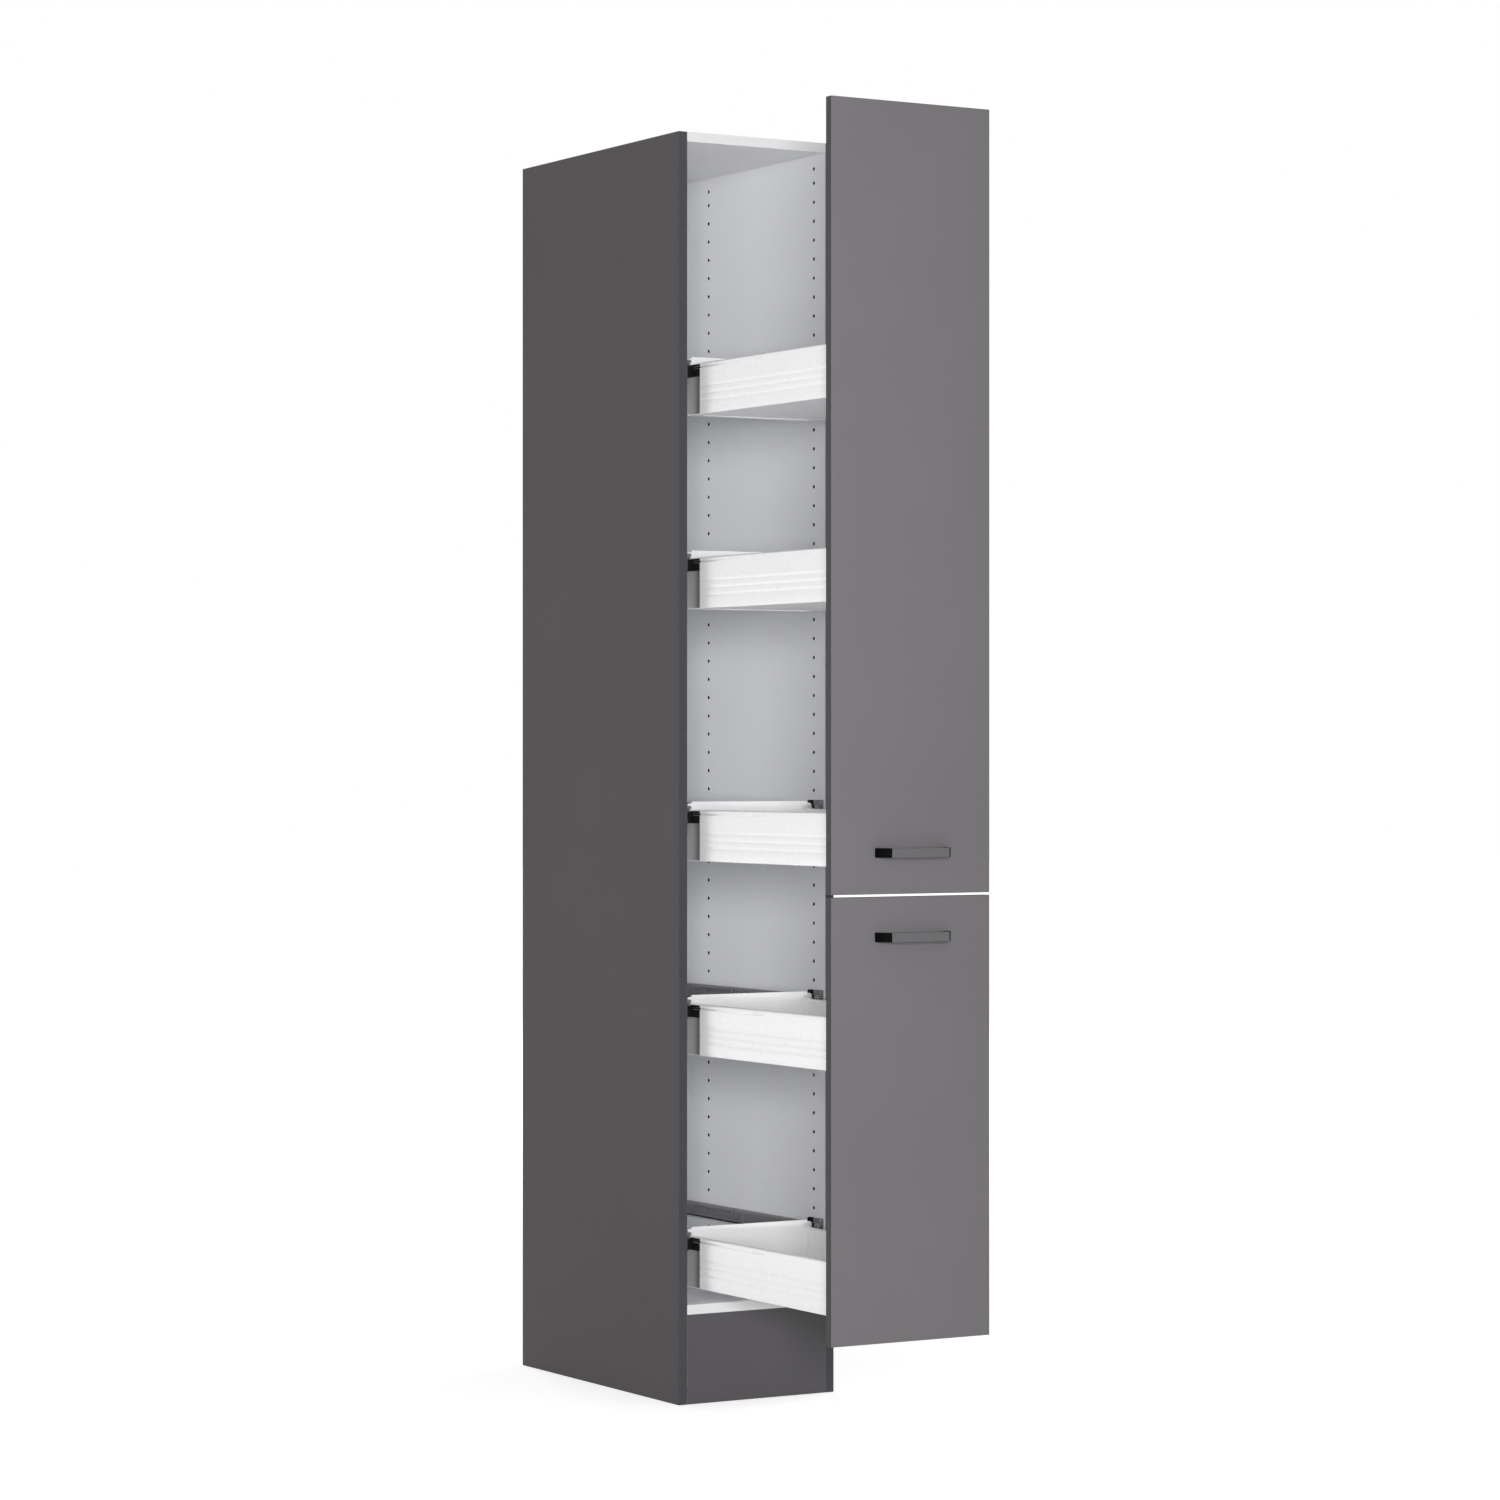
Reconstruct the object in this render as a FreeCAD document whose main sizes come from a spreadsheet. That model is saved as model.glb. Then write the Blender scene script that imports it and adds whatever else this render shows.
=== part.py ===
import FreeCAD, Part
import math
import os
import re
import Sketcher

# Tall pull-out larder unit, modelled with both pull-outs fully open.
# X runs across the cabinet, Y from its front plane to the back and Z up from the floor.

SIZES = {
    # carcass
    "cabinet_width": 300,
    "cabinet_height": 2098,
    "cabinet_depth": 550,
    "board": 16,
    "plinth_height": 148,
    "back_board": 8,
    "back_inset": 20,
    "groove_depth": 7,
    # drilled rows for fittings
    "hole_size": 5,
    "hole_depth": 13,
    "hole_pitch": 32,
    "front_row": 37,
    "rear_row_inset": 161,
    "first_hole": 179,
    "top_hole_drop": 39,
    # fronts
    "front_board": 16,
    "front_reveal": 2,
    "front_gap": 4,
    "lower_front_height": 699,
    "closed_gap": 2,
    # handles
    "handle_spacing": 128,
    "handle_foot": 8,
    "handle_reach": 28,
    "handle_height": 15,
    "handle_strip": 5,
    "handle_lean": 12,
    "handle_bow": 1.5,
    "handle_bend": 2,
    "handle_offset": 65,
    "handle_screw": 4,
    "handle_socket": 9,
    # least height of each tray's underside above the lower edge of its front
    "tray_1_level": 40,
    "tray_2_level": 420,
    "tray_3_level": 40,
    "tray_4_level": 450,
    "tray_5_level": 770,
    "runner_space": 13,
    "tray_height": 85,
    "tray_rim": 1.5,
    "tray_wall": 8,
    "tray_sheet": 1,
    "tray_flange": 18,
    "tray_base": 2,
    "tray_rear_clearance": 44,
    "open_rear": 24,
    "bead_lip": 2,
    "slot_height": 3.2,
    "swage_top": 39,
    "swage_spacing": 12,
    "swage_width": 8,
    "swage_depth": 1.2,
    "back_sheet": 1.5,
    "back_rise": 13,
    "back_corner": 12,
    "back_tab": 18,
    # cabinet rails
    "rail_start": 6,
    "rail_rear_clearance": 22,
    "rail_above": 8,
    "rail_below": 16,
    "rail_depth": 11.5,
    "rail_sheet": 1.2,
    "rail_lip": 5,
    "ear_rise": 8,
    "ear_length": 46,
    "ear_corner": 7,
    "ear_hole": 4,
    "ear_hole_inset": 9,
    "rail_slot_start": 268,
    "rail_slot_length": 41,
    "rail_slot_height": 5,
    "rail_hole_inset": 45,
    "screw_head": 8,
    "screw_head_height": 1.5,
    "screw_end_gap": 1,
    # front stops of the cabinet rails
    "stop_front": 1,
    "stop_top": 2,
    "stop_drop": 4,
    "stop_tongue": 24,
    # middle rails
    "running_gap": 0.3,
    "middle_start": 7,
    "middle_end_play": 9,
    "middle_height": 18,
    "middle_width": 6.5,
    "middle_sheet": 1.5,
    "middle_play": 0.5,
    "link_sheet": 2,
    "link_clearance": 0.5,
    "strip_sheet": 3,
    "strip_height": 28,
    "strip_end_play": 6,
    "glide_length": 14,
    "glide_width": 5,
    "glide_depth": 24,
    # joints between tray and front
    "bracket_length": 24,
    "bracket_width": 4.4,
    "bracket_top": 15,
    "bracket_bottom": 72,
    "tongue_length": 11,
    "tongue_height": 12,
    "tongue_spacing": 32,
    # cam joints of the carcass
    "cam_size": 15,
    "cam_depth": 12.5,
    "cam_inset": 34,
    "bolt_size": 6,
    "cam_front": 50,
    "cam_rear_inset": 62,
    # small fittings
    "wall_hole": 6.5,
    "back_hole": 10,
    "wall_spacing": 180,
    "wall_plate": 40,
    "wall_sheet": 2,
    "wall_hole_drop": 24,
    "wall_screw": 4,
    "clip_size": 30,
    "clip_length": 40,
    "clip_sheet": 4,
    "bumper_size": 8,
    "bumper_height": 1.5,
    "bumper_inset": 40,
}
SIDES = {"left": -1, "right": 1}
PULL_OUTS = {"lower": (1, 2), "upper": (3, 4, 5)}
HOLE_FACE_COUNT = 6
SWAGE_COUNT = 3

# places worked out from the sizes, as text that the document's expressions use
WALL = "(cabinet_width / 2 - board)"
BACK_FACE = "(cabinet_depth - back_inset - back_board)"
REAR_ROW = "(cabinet_depth - rear_row_inset)"
CAM_REAR = f"({BACK_FACE} - cam_rear_inset)"
TRAVEL = f"({BACK_FACE} - tray_rear_clearance - open_rear)"
FRONT_FACE = f"(-{TRAVEL} - closed_gap)"
TRAY_LENGTH = f"(open_rear - {FRONT_FACE})"
FRONT_WIDTH = "(cabinet_width - 2 * front_reveal)"
LOWER_FRONT = "(plinth_height + front_reveal)"
UPPER_FRONT = f"({LOWER_FRONT} + lower_front_height + front_gap)"
UPPER_FRONT_HEIGHT = f"(cabinet_height - front_reveal - {UPPER_FRONT})"
TRAY_OUT = f"({WALL} - runner_space)"
TRAY_IN = f"({TRAY_OUT} - tray_wall)"
TRAY_BOTTOM = "(tray_rim - tray_height)"
FLANGE_TOP = f"({TRAY_BOTTOM} + tray_sheet)"
BEAD = "(tray_rim - tray_wall / 2)"
LIP_END = f"({BEAD} - bead_lip)"
SKIN_TOP = f"({LIP_END} - slot_height)"
LINK_Z = f"({LIP_END} - slot_height / 2)"
RAIL_IN = f"({WALL} - rail_depth)"
RAIL_END = f"({BACK_FACE} - rail_rear_clearance)"
RAIL_WEB = f"({WALL} - rail_sheet)"
MIDDLE_IN = f"({RAIL_IN} + rail_sheet + middle_play)"
MIDDLE_OUT = f"({MIDDLE_IN} + middle_width)"
MIDDLE_BOTTOM = "((rail_above - rail_below - middle_height) / 2)"
MIDDLE_END = f"({RAIL_END} - {TRAVEL} / 2 - middle_end_play - glide_length)"
STRIP_X = f"({TRAY_OUT} - tray_wall / 2)"
STRIP_TOP = (
    f"({BEAD} + sqrt((tray_wall / 2 - tray_sheet) ^ 2 - strip_sheet ^ 2 / 4) - running_gap)"
)
STRIP_END = "(open_rear - back_sheet - link_clearance)"
STRIP_START = f"({FRONT_FACE} + bracket_length + strip_end_play + glide_length + {TRAVEL} / 2)"
LOWER_HANDLE = f"({LOWER_FRONT} + lower_front_height - handle_offset + front_gap / 2)"
UPPER_HANDLE = f"({UPPER_FRONT} + handle_offset)"

doc = FreeCAD.newDocument("larder_unit")
sheet = doc.addObject("Spreadsheet::Sheet", "sizes")
for row, (alias, size) in enumerate(SIZES.items(), 1):
    sheet.set(f"A{row}", alias)
    sheet.set(f"B{row}", str(size))
    sheet.setAlias(f"B{row}", alias)
doc.recompute()
sub_parts = []


def bound(text):
    """Names the sheet before each of its sizes in an expression."""
    return re.sub(r"[a-z]\w*", lambda word: f"sizes.{word[0]}" if word[0] in SIZES else word[0], text)


def value(text):
    return float(sheet.evalExpression(bound(text)))


def keep(sub_part, label):
    """Marks an object as one sub-part, under the label that names its file."""
    sub_part.Label = label
    sub_parts.append(sub_part)
    return sub_part


def place(piece, x="0", y="0", z="0"):
    for axis, text in zip("xyz", (x, y, z)):
        piece.setExpression(f"Placement.Base.{axis}", bound(text))
    return piece


def box(name, length, width, height, corner):
    piece = doc.addObject("Part::Box", name)
    for side, text in (("Length", length), ("Width", width), ("Height", height)):
        piece.setExpression(side, bound(text))
    return place(piece, *corner)


def prism(name, size, length, centre, axis, faces=HOLE_FACE_COUNT):
    """A bar of regular section that starts at its centre point and runs along an axis."""
    piece = doc.addObject("Part::Prism", name)
    piece.Polygon = faces
    piece.setExpression("Circumradius", bound(f"({size}) / 2"))
    piece.setExpression("Height", bound(length))
    piece.Placement.Rotation = FreeCAD.Rotation(FreeCAD.Vector(0, 0, 1), FreeCAD.Vector(*axis))
    return place(piece, *centre)


def rod(name, size, length, centre, axis):
    piece = doc.addObject("Part::Cylinder", name)
    piece.setExpression("Radius", bound(f"({size}) / 2"))
    piece.setExpression("Height", bound(length))
    piece.Placement.Rotation = FreeCAD.Rotation(FreeCAD.Vector(0, 0, 1), FreeCAD.Vector(*axis))
    return place(piece, *centre)


def group(name, pieces):
    together = doc.addObject("Part::Compound", name)
    together.Links = pieces
    return together


def cut(name, base, tools):
    piece = doc.addObject("Part::Cut", name)
    piece.Base = base
    piece.Tool = group(f"{name}_tools", tools)
    return piece


def fuse(name, pieces):
    piece = doc.addObject("Part::MultiFuse", name)
    piece.Shapes = pieces
    return piece


def body(name):
    return doc.addObject("PartDesign::Body", name)


def sketch_on(owner, name, plane, offset="0"):
    """A sketch on one of the body's own planes, moved along that plane's normal."""
    sketch = owner.newObject("Sketcher::SketchObject", name)
    origin_plane = next(part for part in owner.Origin.OriginFeatures if part.Role == f"{plane}_Plane")
    sketch.AttachmentSupport = [(origin_plane, "")]
    sketch.MapMode = "FlatFace"
    sketch.setExpression("AttachmentOffset.Base.z", bound(offset))
    return sketch


def to(across, up, centre=None, turn=0):
    """One step of an outline: a line, or an arc about a centre that turns left (1) or right (-1)."""
    return across, up, centre, turn


def draw(sketch, steps):
    """Closes an outline through the steps and ties every corner and centre to the sheet."""
    points = [FreeCAD.Vector(value(across), value(up), 0) for across, up, _, _ in steps]
    first = sketch.GeometryCount
    ends = []
    ties = []
    for number, (across, up, centre, turn) in enumerate(steps):
        start, end = points[number - 1], points[number]
        if centre is None:
            sketch.addGeometry(Part.LineSegment(start, end))
            ends.append((1, 2))
            continue
        middle = FreeCAD.Vector(value(centre[0]), value(centre[1]), 0)
        circle = Part.Circle(middle, FreeCAD.Vector(0, 0, 1), (end - middle).Length)
        angles = [math.atan2(point.y - middle.y, point.x - middle.x) for point in (start, end)]
        ends.append((1, 2) if turn > 0 else (2, 1))
        sketch.addGeometry(Part.ArcOfCircle(circle, *angles[::turn]))
        if abs(end.x - start.x) < abs(end.y - start.y):
            ties.append(("DistanceX", first + number, 3, centre[0]))
        else:
            ties.append(("DistanceY", first + number, 3, centre[1]))
    joins = []
    for number, (across, up, _, _) in enumerate(steps):
        following = (number + 1) % len(steps)
        joins.append((first + number, ends[number][1], first + following, ends[following][0]))
        ties.append(("DistanceX", first + number, ends[number][1], across))
        ties.append(("DistanceY", first + number, ends[number][1], up))
    sketch.addConstraint([Sketcher.Constraint("Coincident", *join) for join in joins])
    held = sketch.ConstraintCount
    sketch.addConstraint([
        Sketcher.Constraint(kind, -1, 1, edge, point, value(text)) for kind, edge, point, text in ties
    ])
    for number, (_, _, _, text) in enumerate(ties, held):
        sketch.setExpression(f"Constraints[{number}]", bound(text))


def rectangle(sketch, low, high):
    (left, bottom), (right, top) = low, high
    draw(sketch, [to(left, bottom), to(right, bottom), to(right, top), to(left, top)])


def polygon(sketch, across, up, size, faces=HOLE_FACE_COUNT):
    """A drilled or turned section with few faces, its corners on the circle of the given size."""
    corners = [f"{360 / faces * (number + 0.5)} deg" for number in range(faces)]
    draw(sketch, [
        to(f"{across} + {size} / 2 * cos({turn})", f"{up} + {size} / 2 * sin({turn})")
        for turn in corners
    ])


def pad(owner, sketch, length, backwards=False):
    feature = owner.newObject("PartDesign::Pad", f"{sketch.Name}_pad")
    feature.Profile = sketch
    feature.setExpression("Length", bound(length))
    feature.Reversed = backwards
    return feature


def pocket(owner, sketch, length, backwards=False):
    feature = owner.newObject("PartDesign::Pocket", f"{sketch.Name}_pocket")
    feature.Profile = sketch
    feature.setExpression("Length", bound(length))
    feature.Reversed = backwards
    feature.Refine = False
    return feature


def mirrored(side, text):
    return f"({side} * ({text}))"


def hanging_line(tray):
    """Height of the hole that carries one tray, the first that is high enough above its front's edge."""
    edge = LOWER_FRONT if tray in PULL_OUTS["lower"] else UPPER_FRONT
    least = f"{edge} + tray_{tray}_level - {TRAY_BOTTOM}"
    return f"(first_hole + hole_pitch * ceil(({least} - first_hole) / hole_pitch))"


def side_panel(where, side):
    """Full-height side board with a groove for the back and two rows of drilled holes."""
    panel = body(f"side_panel_{where}")
    inner = mirrored(side, WALL)
    low_face = inner if side > 0 else "(-cabinet_width / 2)"
    outline = sketch_on(panel, f"side_{where}", "YZ", low_face)
    rectangle(outline, ("0", "0"), ("cabinet_depth", "cabinet_height"))
    pad(panel, outline, "board")
    groove = sketch_on(panel, f"groove_{where}", "YZ", inner)
    groove_end = f"{BACK_FACE} + back_board"
    rectangle(groove, (BACK_FACE, "plinth_height"), (groove_end, "cabinet_height"))
    pocket(panel, groove, "groove_depth", side > 0)
    rows = ("front_row", REAR_ROW)
    top_holes = sketch_on(panel, f"top_holes_{where}", "YZ", inner)
    lowest = sketch_on(panel, f"lowest_holes_{where}", "YZ", inner)
    for row in rows:
        polygon(top_holes, row, "cabinet_height - top_hole_drop", "hole_size")
        polygon(lowest, row, "first_hole", "hole_size")
    pocket(panel, top_holes, "hole_depth", side > 0)
    drilled = pocket(panel, lowest, "hole_depth", side > 0)
    pattern = panel.newObject("PartDesign::LinearPattern", f"rows_{where}")
    pattern.Originals = [drilled]
    pattern.Refine = False
    pattern.Direction = (lowest, ["V_Axis"])
    steps = "floor((cabinet_height - top_hole_drop - hole_size - first_hole) / hole_pitch)"
    pattern.setExpression("Length", bound(f"hole_pitch * {steps}"))
    pattern.setExpression("Occurrences", bound(f"{steps} + 1"))
    panel.Tip = pattern
    return keep(panel, f"side_panel_{where}")


def cam_places(across):
    """Centres of the cam joints along one end of a level board."""
    return [(across, depth) for depth in ("cam_front", CAM_REAR)]


def level_board(label, bottom, cam_face, inwards):
    """Board between the sides, drilled for the cams in its hidden face and for their bolts."""
    plain = box(f"{label}_board", f"2 * {WALL}", BACK_FACE, "board", (f"-{WALL}", "0", bottom))
    tools = []
    for where, side in SIDES.items():
        for number, (across, depth) in enumerate(cam_places(mirrored(side, f"{WALL} - cam_inset"))):
            name = f"{label}_{where}_{number}"
            centre = (across, depth, cam_face)
            tools.append(prism(f"{name}_cam_hole", "cam_size", "cam_depth", centre, (0, 0, inwards)))
            end = (mirrored(side, WALL), depth, f"{bottom} + board / 2")
            tools.append(prism(f"{name}_bolt_hole", "bolt_size", "cam_inset", end, (-side, 0, 0)))
    return keep(cut(label, plain, tools), label)


def cam_joints():
    """Cams and bolts that draw the level boards to the sides."""
    cams = []
    bolts = []
    boards = {
        "top": ("(cabinet_height - board)", "cabinet_height", -1),
        "bottom": ("plinth_height", "plinth_height", 1),
    }
    for level, (bottom, cam_face, inwards) in boards.items():
        for where, side in SIDES.items():
            for number, (across, depth) in enumerate(cam_places(mirrored(side, f"{WALL} - cam_inset"))):
                name = f"{level}_{where}_{number}"
                centre = (across, depth, cam_face)
                cams.append(prism(f"{name}_cam", "cam_size", "cam_depth", centre, (0, 0, inwards)))
                end = (mirrored(side, WALL), depth, f"{bottom} + board / 2")
                length = "cam_inset - cam_size / 2"
                bolts.append(prism(f"{name}_bolt", "bolt_size", length, end, (-side, 0, 0)))
    keep(group("cam_discs", cams), "cam_discs")
    keep(group("cam_bolts", bolts), "cam_bolts")


def carcass():
    for where, side in SIDES.items():
        side_panel(where, side)
    level_board("top_panel", "(cabinet_height - board)", "cabinet_height", -1)
    level_board("bottom_panel", "plinth_height", "plinth_height", 1)
    cam_joints()
    plinth = box("plinth_panel", f"2 * {WALL}", "board", "plinth_height", (f"-{WALL}", "0", "0"))
    keep(plinth, "plinth_panel")
    half_width = f"({WALL} + groove_depth)"
    corner = (f"-{half_width}", BACK_FACE, "plinth_height")
    height = "cabinet_height - plinth_height"
    back = box("back_board_sheet", f"2 * {half_width}", "back_board", height, corner)
    holes = [
        prism(f"back_hole_{where}", "back_hole", "back_board", wall_hole(side, BACK_FACE), (0, 1, 0))
        for where, side in SIDES.items()
    ]
    keep(cut("back_panel", back, holes), "back_panel")


def wall_hole(side, depth):
    """Place of one hole for fixing the cabinet to a wall."""
    return mirrored(side, "wall_spacing / 2"), depth, "cabinet_height - board - wall_hole_drop"


def wall_brackets():
    """Steel angles under the top board, with a hole each for a wall screw."""
    brackets = []
    screws = []
    top = "(cabinet_height - board)"
    for where, side in SIDES.items():
        low_x = f"{mirrored(side, 'wall_spacing / 2')} - wall_plate / 2"
        flat = (low_x, f"{BACK_FACE} - wall_plate", f"{top} - wall_sheet")
        upright = (low_x, f"{BACK_FACE} - wall_sheet", f"{top} - wall_plate")
        angle = fuse(f"wall_angle_{where}", [
            box(f"wall_flat_{where}", "wall_plate", "wall_plate", "wall_sheet", flat),
            box(f"wall_upright_{where}", "wall_plate", "wall_sheet", "wall_plate", upright),
        ])
        hole = wall_hole(side, f"{BACK_FACE} - wall_sheet")
        screw_at = (mirrored(side, "wall_spacing / 2"), f"{BACK_FACE} - wall_plate / 2")
        seat = (*screw_at, f"{top} - wall_sheet")
        head = (*screw_at, f"{top} - wall_sheet - screw_head_height")
        up = (0, 0, 1)
        brackets.append(cut(f"wall_bracket_{where}", angle, [
            rod(f"wall_hole_{where}", "wall_hole", "wall_sheet", hole, (0, 1, 0)),
            prism(f"wall_screw_hole_{where}", "wall_screw", "wall_sheet", seat, up),
        ]))
        screws.append(fuse(f"wall_bracket_screw_{where}", [
            prism(f"wall_screw_head_{where}", "screw_head", "screw_head_height", head, up),
            prism(f"wall_screw_shank_{where}", "wall_screw", "wall_sheet", seat, up),
        ]))
    keep(group("wall_brackets", brackets), "wall_brackets")
    keep(group("wall_bracket_screws", screws), "wall_bracket_screws")


def plinth_clips():
    """Plastic corners that hold the plinth board to the sides."""
    clips = []
    for where, side in SIDES.items():
        on_side = f"({WALL} - clip_sheet)" if side > 0 else f"-{WALL}"
        on_plinth = f"({WALL} - clip_size)" if side > 0 else f"-{WALL}"
        low = "(plinth_height - clip_length) / 2"
        side_corner = (on_side, "board", low)
        front_corner = (on_plinth, "board", low)
        clips.append(fuse(f"plinth_clip_{where}", [
            box(f"clip_side_{where}", "clip_sheet", "clip_size", "clip_length", side_corner),
            box(f"clip_front_{where}", "clip_size", "clip_sheet", "clip_length", front_corner),
        ]))
    keep(group("plinth_clips", clips), "plinth_clips")


def cabinet_rail(tray, where, side):
    """Lipped channel on the side board, with a raised ear and punched holes."""
    name = f"cabinet_rail_{tray}_{where}"
    rail = body(name)
    section = sketch_on(rail, f"{name}_section", "XZ", "-rail_start")
    channel = (
        (WALL, "-rail_below"),
        (WALL, "rail_above"),
        (RAIL_IN, "rail_above"),
        (RAIL_IN, "rail_above - rail_lip"),
        (f"{RAIL_IN} + rail_sheet", "rail_above - rail_lip"),
        (f"{RAIL_IN} + rail_sheet", "rail_above - rail_sheet"),
        (RAIL_WEB, "rail_above - rail_sheet"),
        (RAIL_WEB, "rail_sheet - rail_below"),
        (f"{RAIL_IN} + rail_sheet", "rail_sheet - rail_below"),
        (f"{RAIL_IN} + rail_sheet", "rail_lip - rail_below"),
        (RAIL_IN, "rail_lip - rail_below"),
        (RAIL_IN, "-rail_below"),
    )
    draw(section, [to(mirrored(side, across), up) for across, up in channel])
    pad(rail, section, f"{RAIL_END} - rail_start", True)
    low_x = RAIL_WEB if side > 0 else f"-{WALL}"
    ear = sketch_on(rail, f"{name}_ear", "YZ", low_x)
    ear_end = "(rail_start + ear_length)"
    ear_top = "(rail_above + ear_rise)"
    corner = [
        (
            f"{ear_end} - ear_corner * (1 - cos({turn} deg))",
            f"{ear_top} - ear_corner * (1 - sin({turn} deg))",
        )
        for turn in (0, 30, 60, 90)
    ]
    draw(ear, [to("rail_start", "rail_above"), to(ear_end, "rail_above")]
         + [to(across, up) for across, up in corner] + [to("rail_start", ear_top)])
    pad(rail, ear, "rail_sheet")
    holes = sketch_on(rail, f"{name}_holes", "YZ", low_x)
    polygon(holes, "front_row", "0", "hole_size")
    polygon(holes, REAR_ROW, "0", "hole_size")
    polygon(holes, f"{RAIL_END} - rail_hole_inset", "0", "hole_size")
    polygon(holes, "rail_start + ear_hole_inset", "rail_above + ear_rise / 2", "ear_hole")
    slot_end = "rail_slot_start + rail_slot_length"
    rectangle(holes, ("rail_slot_start", "-rail_slot_height / 2"), (slot_end, "rail_slot_height / 2"))
    pocket(rail, holes, "rail_sheet", True)
    return place(rail, z=hanging_line(tray))


def rail_stop(tray, where, side):
    """Plastic nose before the channel's end, on a tongue under the rail."""
    nose_low = "-rail_below - stop_drop"
    stop = body(f"rail_stop_{tray}_{where}")
    low_x = RAIL_IN if side > 0 else f"-{WALL}"
    profile = sketch_on(stop, f"rail_stop_{tray}_{where}_profile", "YZ", low_x)
    tongue_end = "rail_start + stop_tongue"
    outline = (
        ("stop_front", nose_low),
        (f"{tongue_end} - stop_drop", nose_low),
        (tongue_end, "-rail_below"),
        ("rail_start", "-rail_below"),
        ("rail_start", "-stop_top"),
        ("stop_front", "-stop_top"),
    )
    draw(profile, [to(across, up) for across, up in outline])
    pad(stop, profile, "rail_depth")
    return place(stop, z=hanging_line(tray))


def rail_screw(tray, where, side, row, depth):
    """Flat-headed system screw in one of the drilled holes."""
    name = f"rail_screw_{tray}_{where}_{row}"
    inside = (mirrored(side, f"{RAIL_WEB} - screw_head_height"), depth, hanging_line(tray))
    web = (mirrored(side, RAIL_WEB), depth, hanging_line(tray))
    shank = "rail_sheet + hole_depth - screw_end_gap"
    return fuse(name, [
        prism(f"{name}_head", "screw_head", "screw_head_height", inside, (side, 0, 0)),
        prism(f"{name}_shank", "hole_size", shank, web, (side, 0, 0)),
    ])


def middle_rail(tray, where, side):
    """Stepped member: a channel in the cabinet rail, linked to a strip inside the tray wall."""
    name = f"middle_rail_{tray}_{where}"
    rail = body(name)
    section = sketch_on(rail, f"{name}_channel", "XZ", "-middle_start")
    middle_top = f"({MIDDLE_BOTTOM} + middle_height)"
    web = f"({MIDDLE_IN} + middle_sheet)"
    channel = (
        (MIDDLE_IN, MIDDLE_BOTTOM),
        (MIDDLE_OUT, MIDDLE_BOTTOM),
        (MIDDLE_OUT, f"{MIDDLE_BOTTOM} + middle_sheet"),
        (web, f"{MIDDLE_BOTTOM} + middle_sheet"),
        (web, f"{middle_top} - middle_sheet"),
        (MIDDLE_OUT, f"{middle_top} - middle_sheet"),
        (MIDDLE_OUT, middle_top),
        (MIDDLE_IN, middle_top),
    )
    draw(section, [to(mirrored(side, across), up) for across, up in channel])
    pad(rail, section, f"{MIDDLE_END} - middle_start", True)
    strip_face = f"({STRIP_X} + strip_sheet / 2)"
    link = sketch_on(rail, f"{name}_link", "XZ", "-middle_start")
    link_low = (mirrored(side, strip_face), f"{LINK_Z} - link_sheet / 2")
    link_high = (mirrored(side, MIDDLE_IN), f"{LINK_Z} + link_sheet / 2")
    rectangle(link, link_low, link_high)
    pad(rail, link, f"{STRIP_END} - middle_start", True)
    strip = sketch_on(rail, f"{name}_strip", "XZ", f"-{STRIP_END}")
    strip_low = (mirrored(side, f"{STRIP_X} - strip_sheet / 2"), f"{STRIP_TOP} - strip_height")
    rectangle(strip, strip_low, (mirrored(side, strip_face), STRIP_TOP))
    pad(rail, strip, f"{STRIP_END} - {STRIP_START}")
    return place(rail, z=hanging_line(tray))


def middle_glides(tray, where, side):
    """Nylon ends of the middle rail, one in the cabinet rail and one in the tray wall."""
    line = hanging_line(tray)
    rear_width = "(rail_depth - 2 * rail_sheet - screw_head_height - 2 * running_gap)"
    rear_in = f"({RAIL_IN} + rail_sheet + running_gap)"
    rear_x = rear_in if side > 0 else f"(-{rear_in} - {rear_width})"
    rear_height = "rail_above + rail_below - 2 * rail_sheet - 2 * running_gap"
    rear_z = f"{line} - rail_below + rail_sheet + running_gap"
    name = f"glide_{tray}_{where}"
    rear_corner = (rear_x, MIDDLE_END, rear_z)
    rear = box(f"{name}_rear", rear_width, "glide_length", rear_height, rear_corner)
    front_x = f"{mirrored(side, STRIP_X)} - glide_width / 2"
    front_y = f"{STRIP_START} - glide_length"
    bead_room = "sqrt((tray_wall / 2 - tray_sheet) ^ 2 - glide_width ^ 2 / 4)"
    front_z = f"{line} + {BEAD} + {bead_room} - running_gap - glide_depth"
    front_corner = (front_x, front_y, front_z)
    front = box(f"{name}_front", "glide_width", "glide_length", "glide_depth", front_corner)
    return [rear, front]


def swaged(face, height, turn):
    """Steps across one pressed groove of a skin, upwards (1) or downwards (-1)."""
    return [
        to(face, f"{height} - {turn} * swage_width / 2"),
        to(f"{face} - swage_depth", f"{height} - {turn} * swage_width / 4"),
        to(f"{face} - swage_depth", f"{height} + {turn} * swage_width / 4"),
        to(face, f"{height} + {turn} * swage_width / 2"),
    ]


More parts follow.
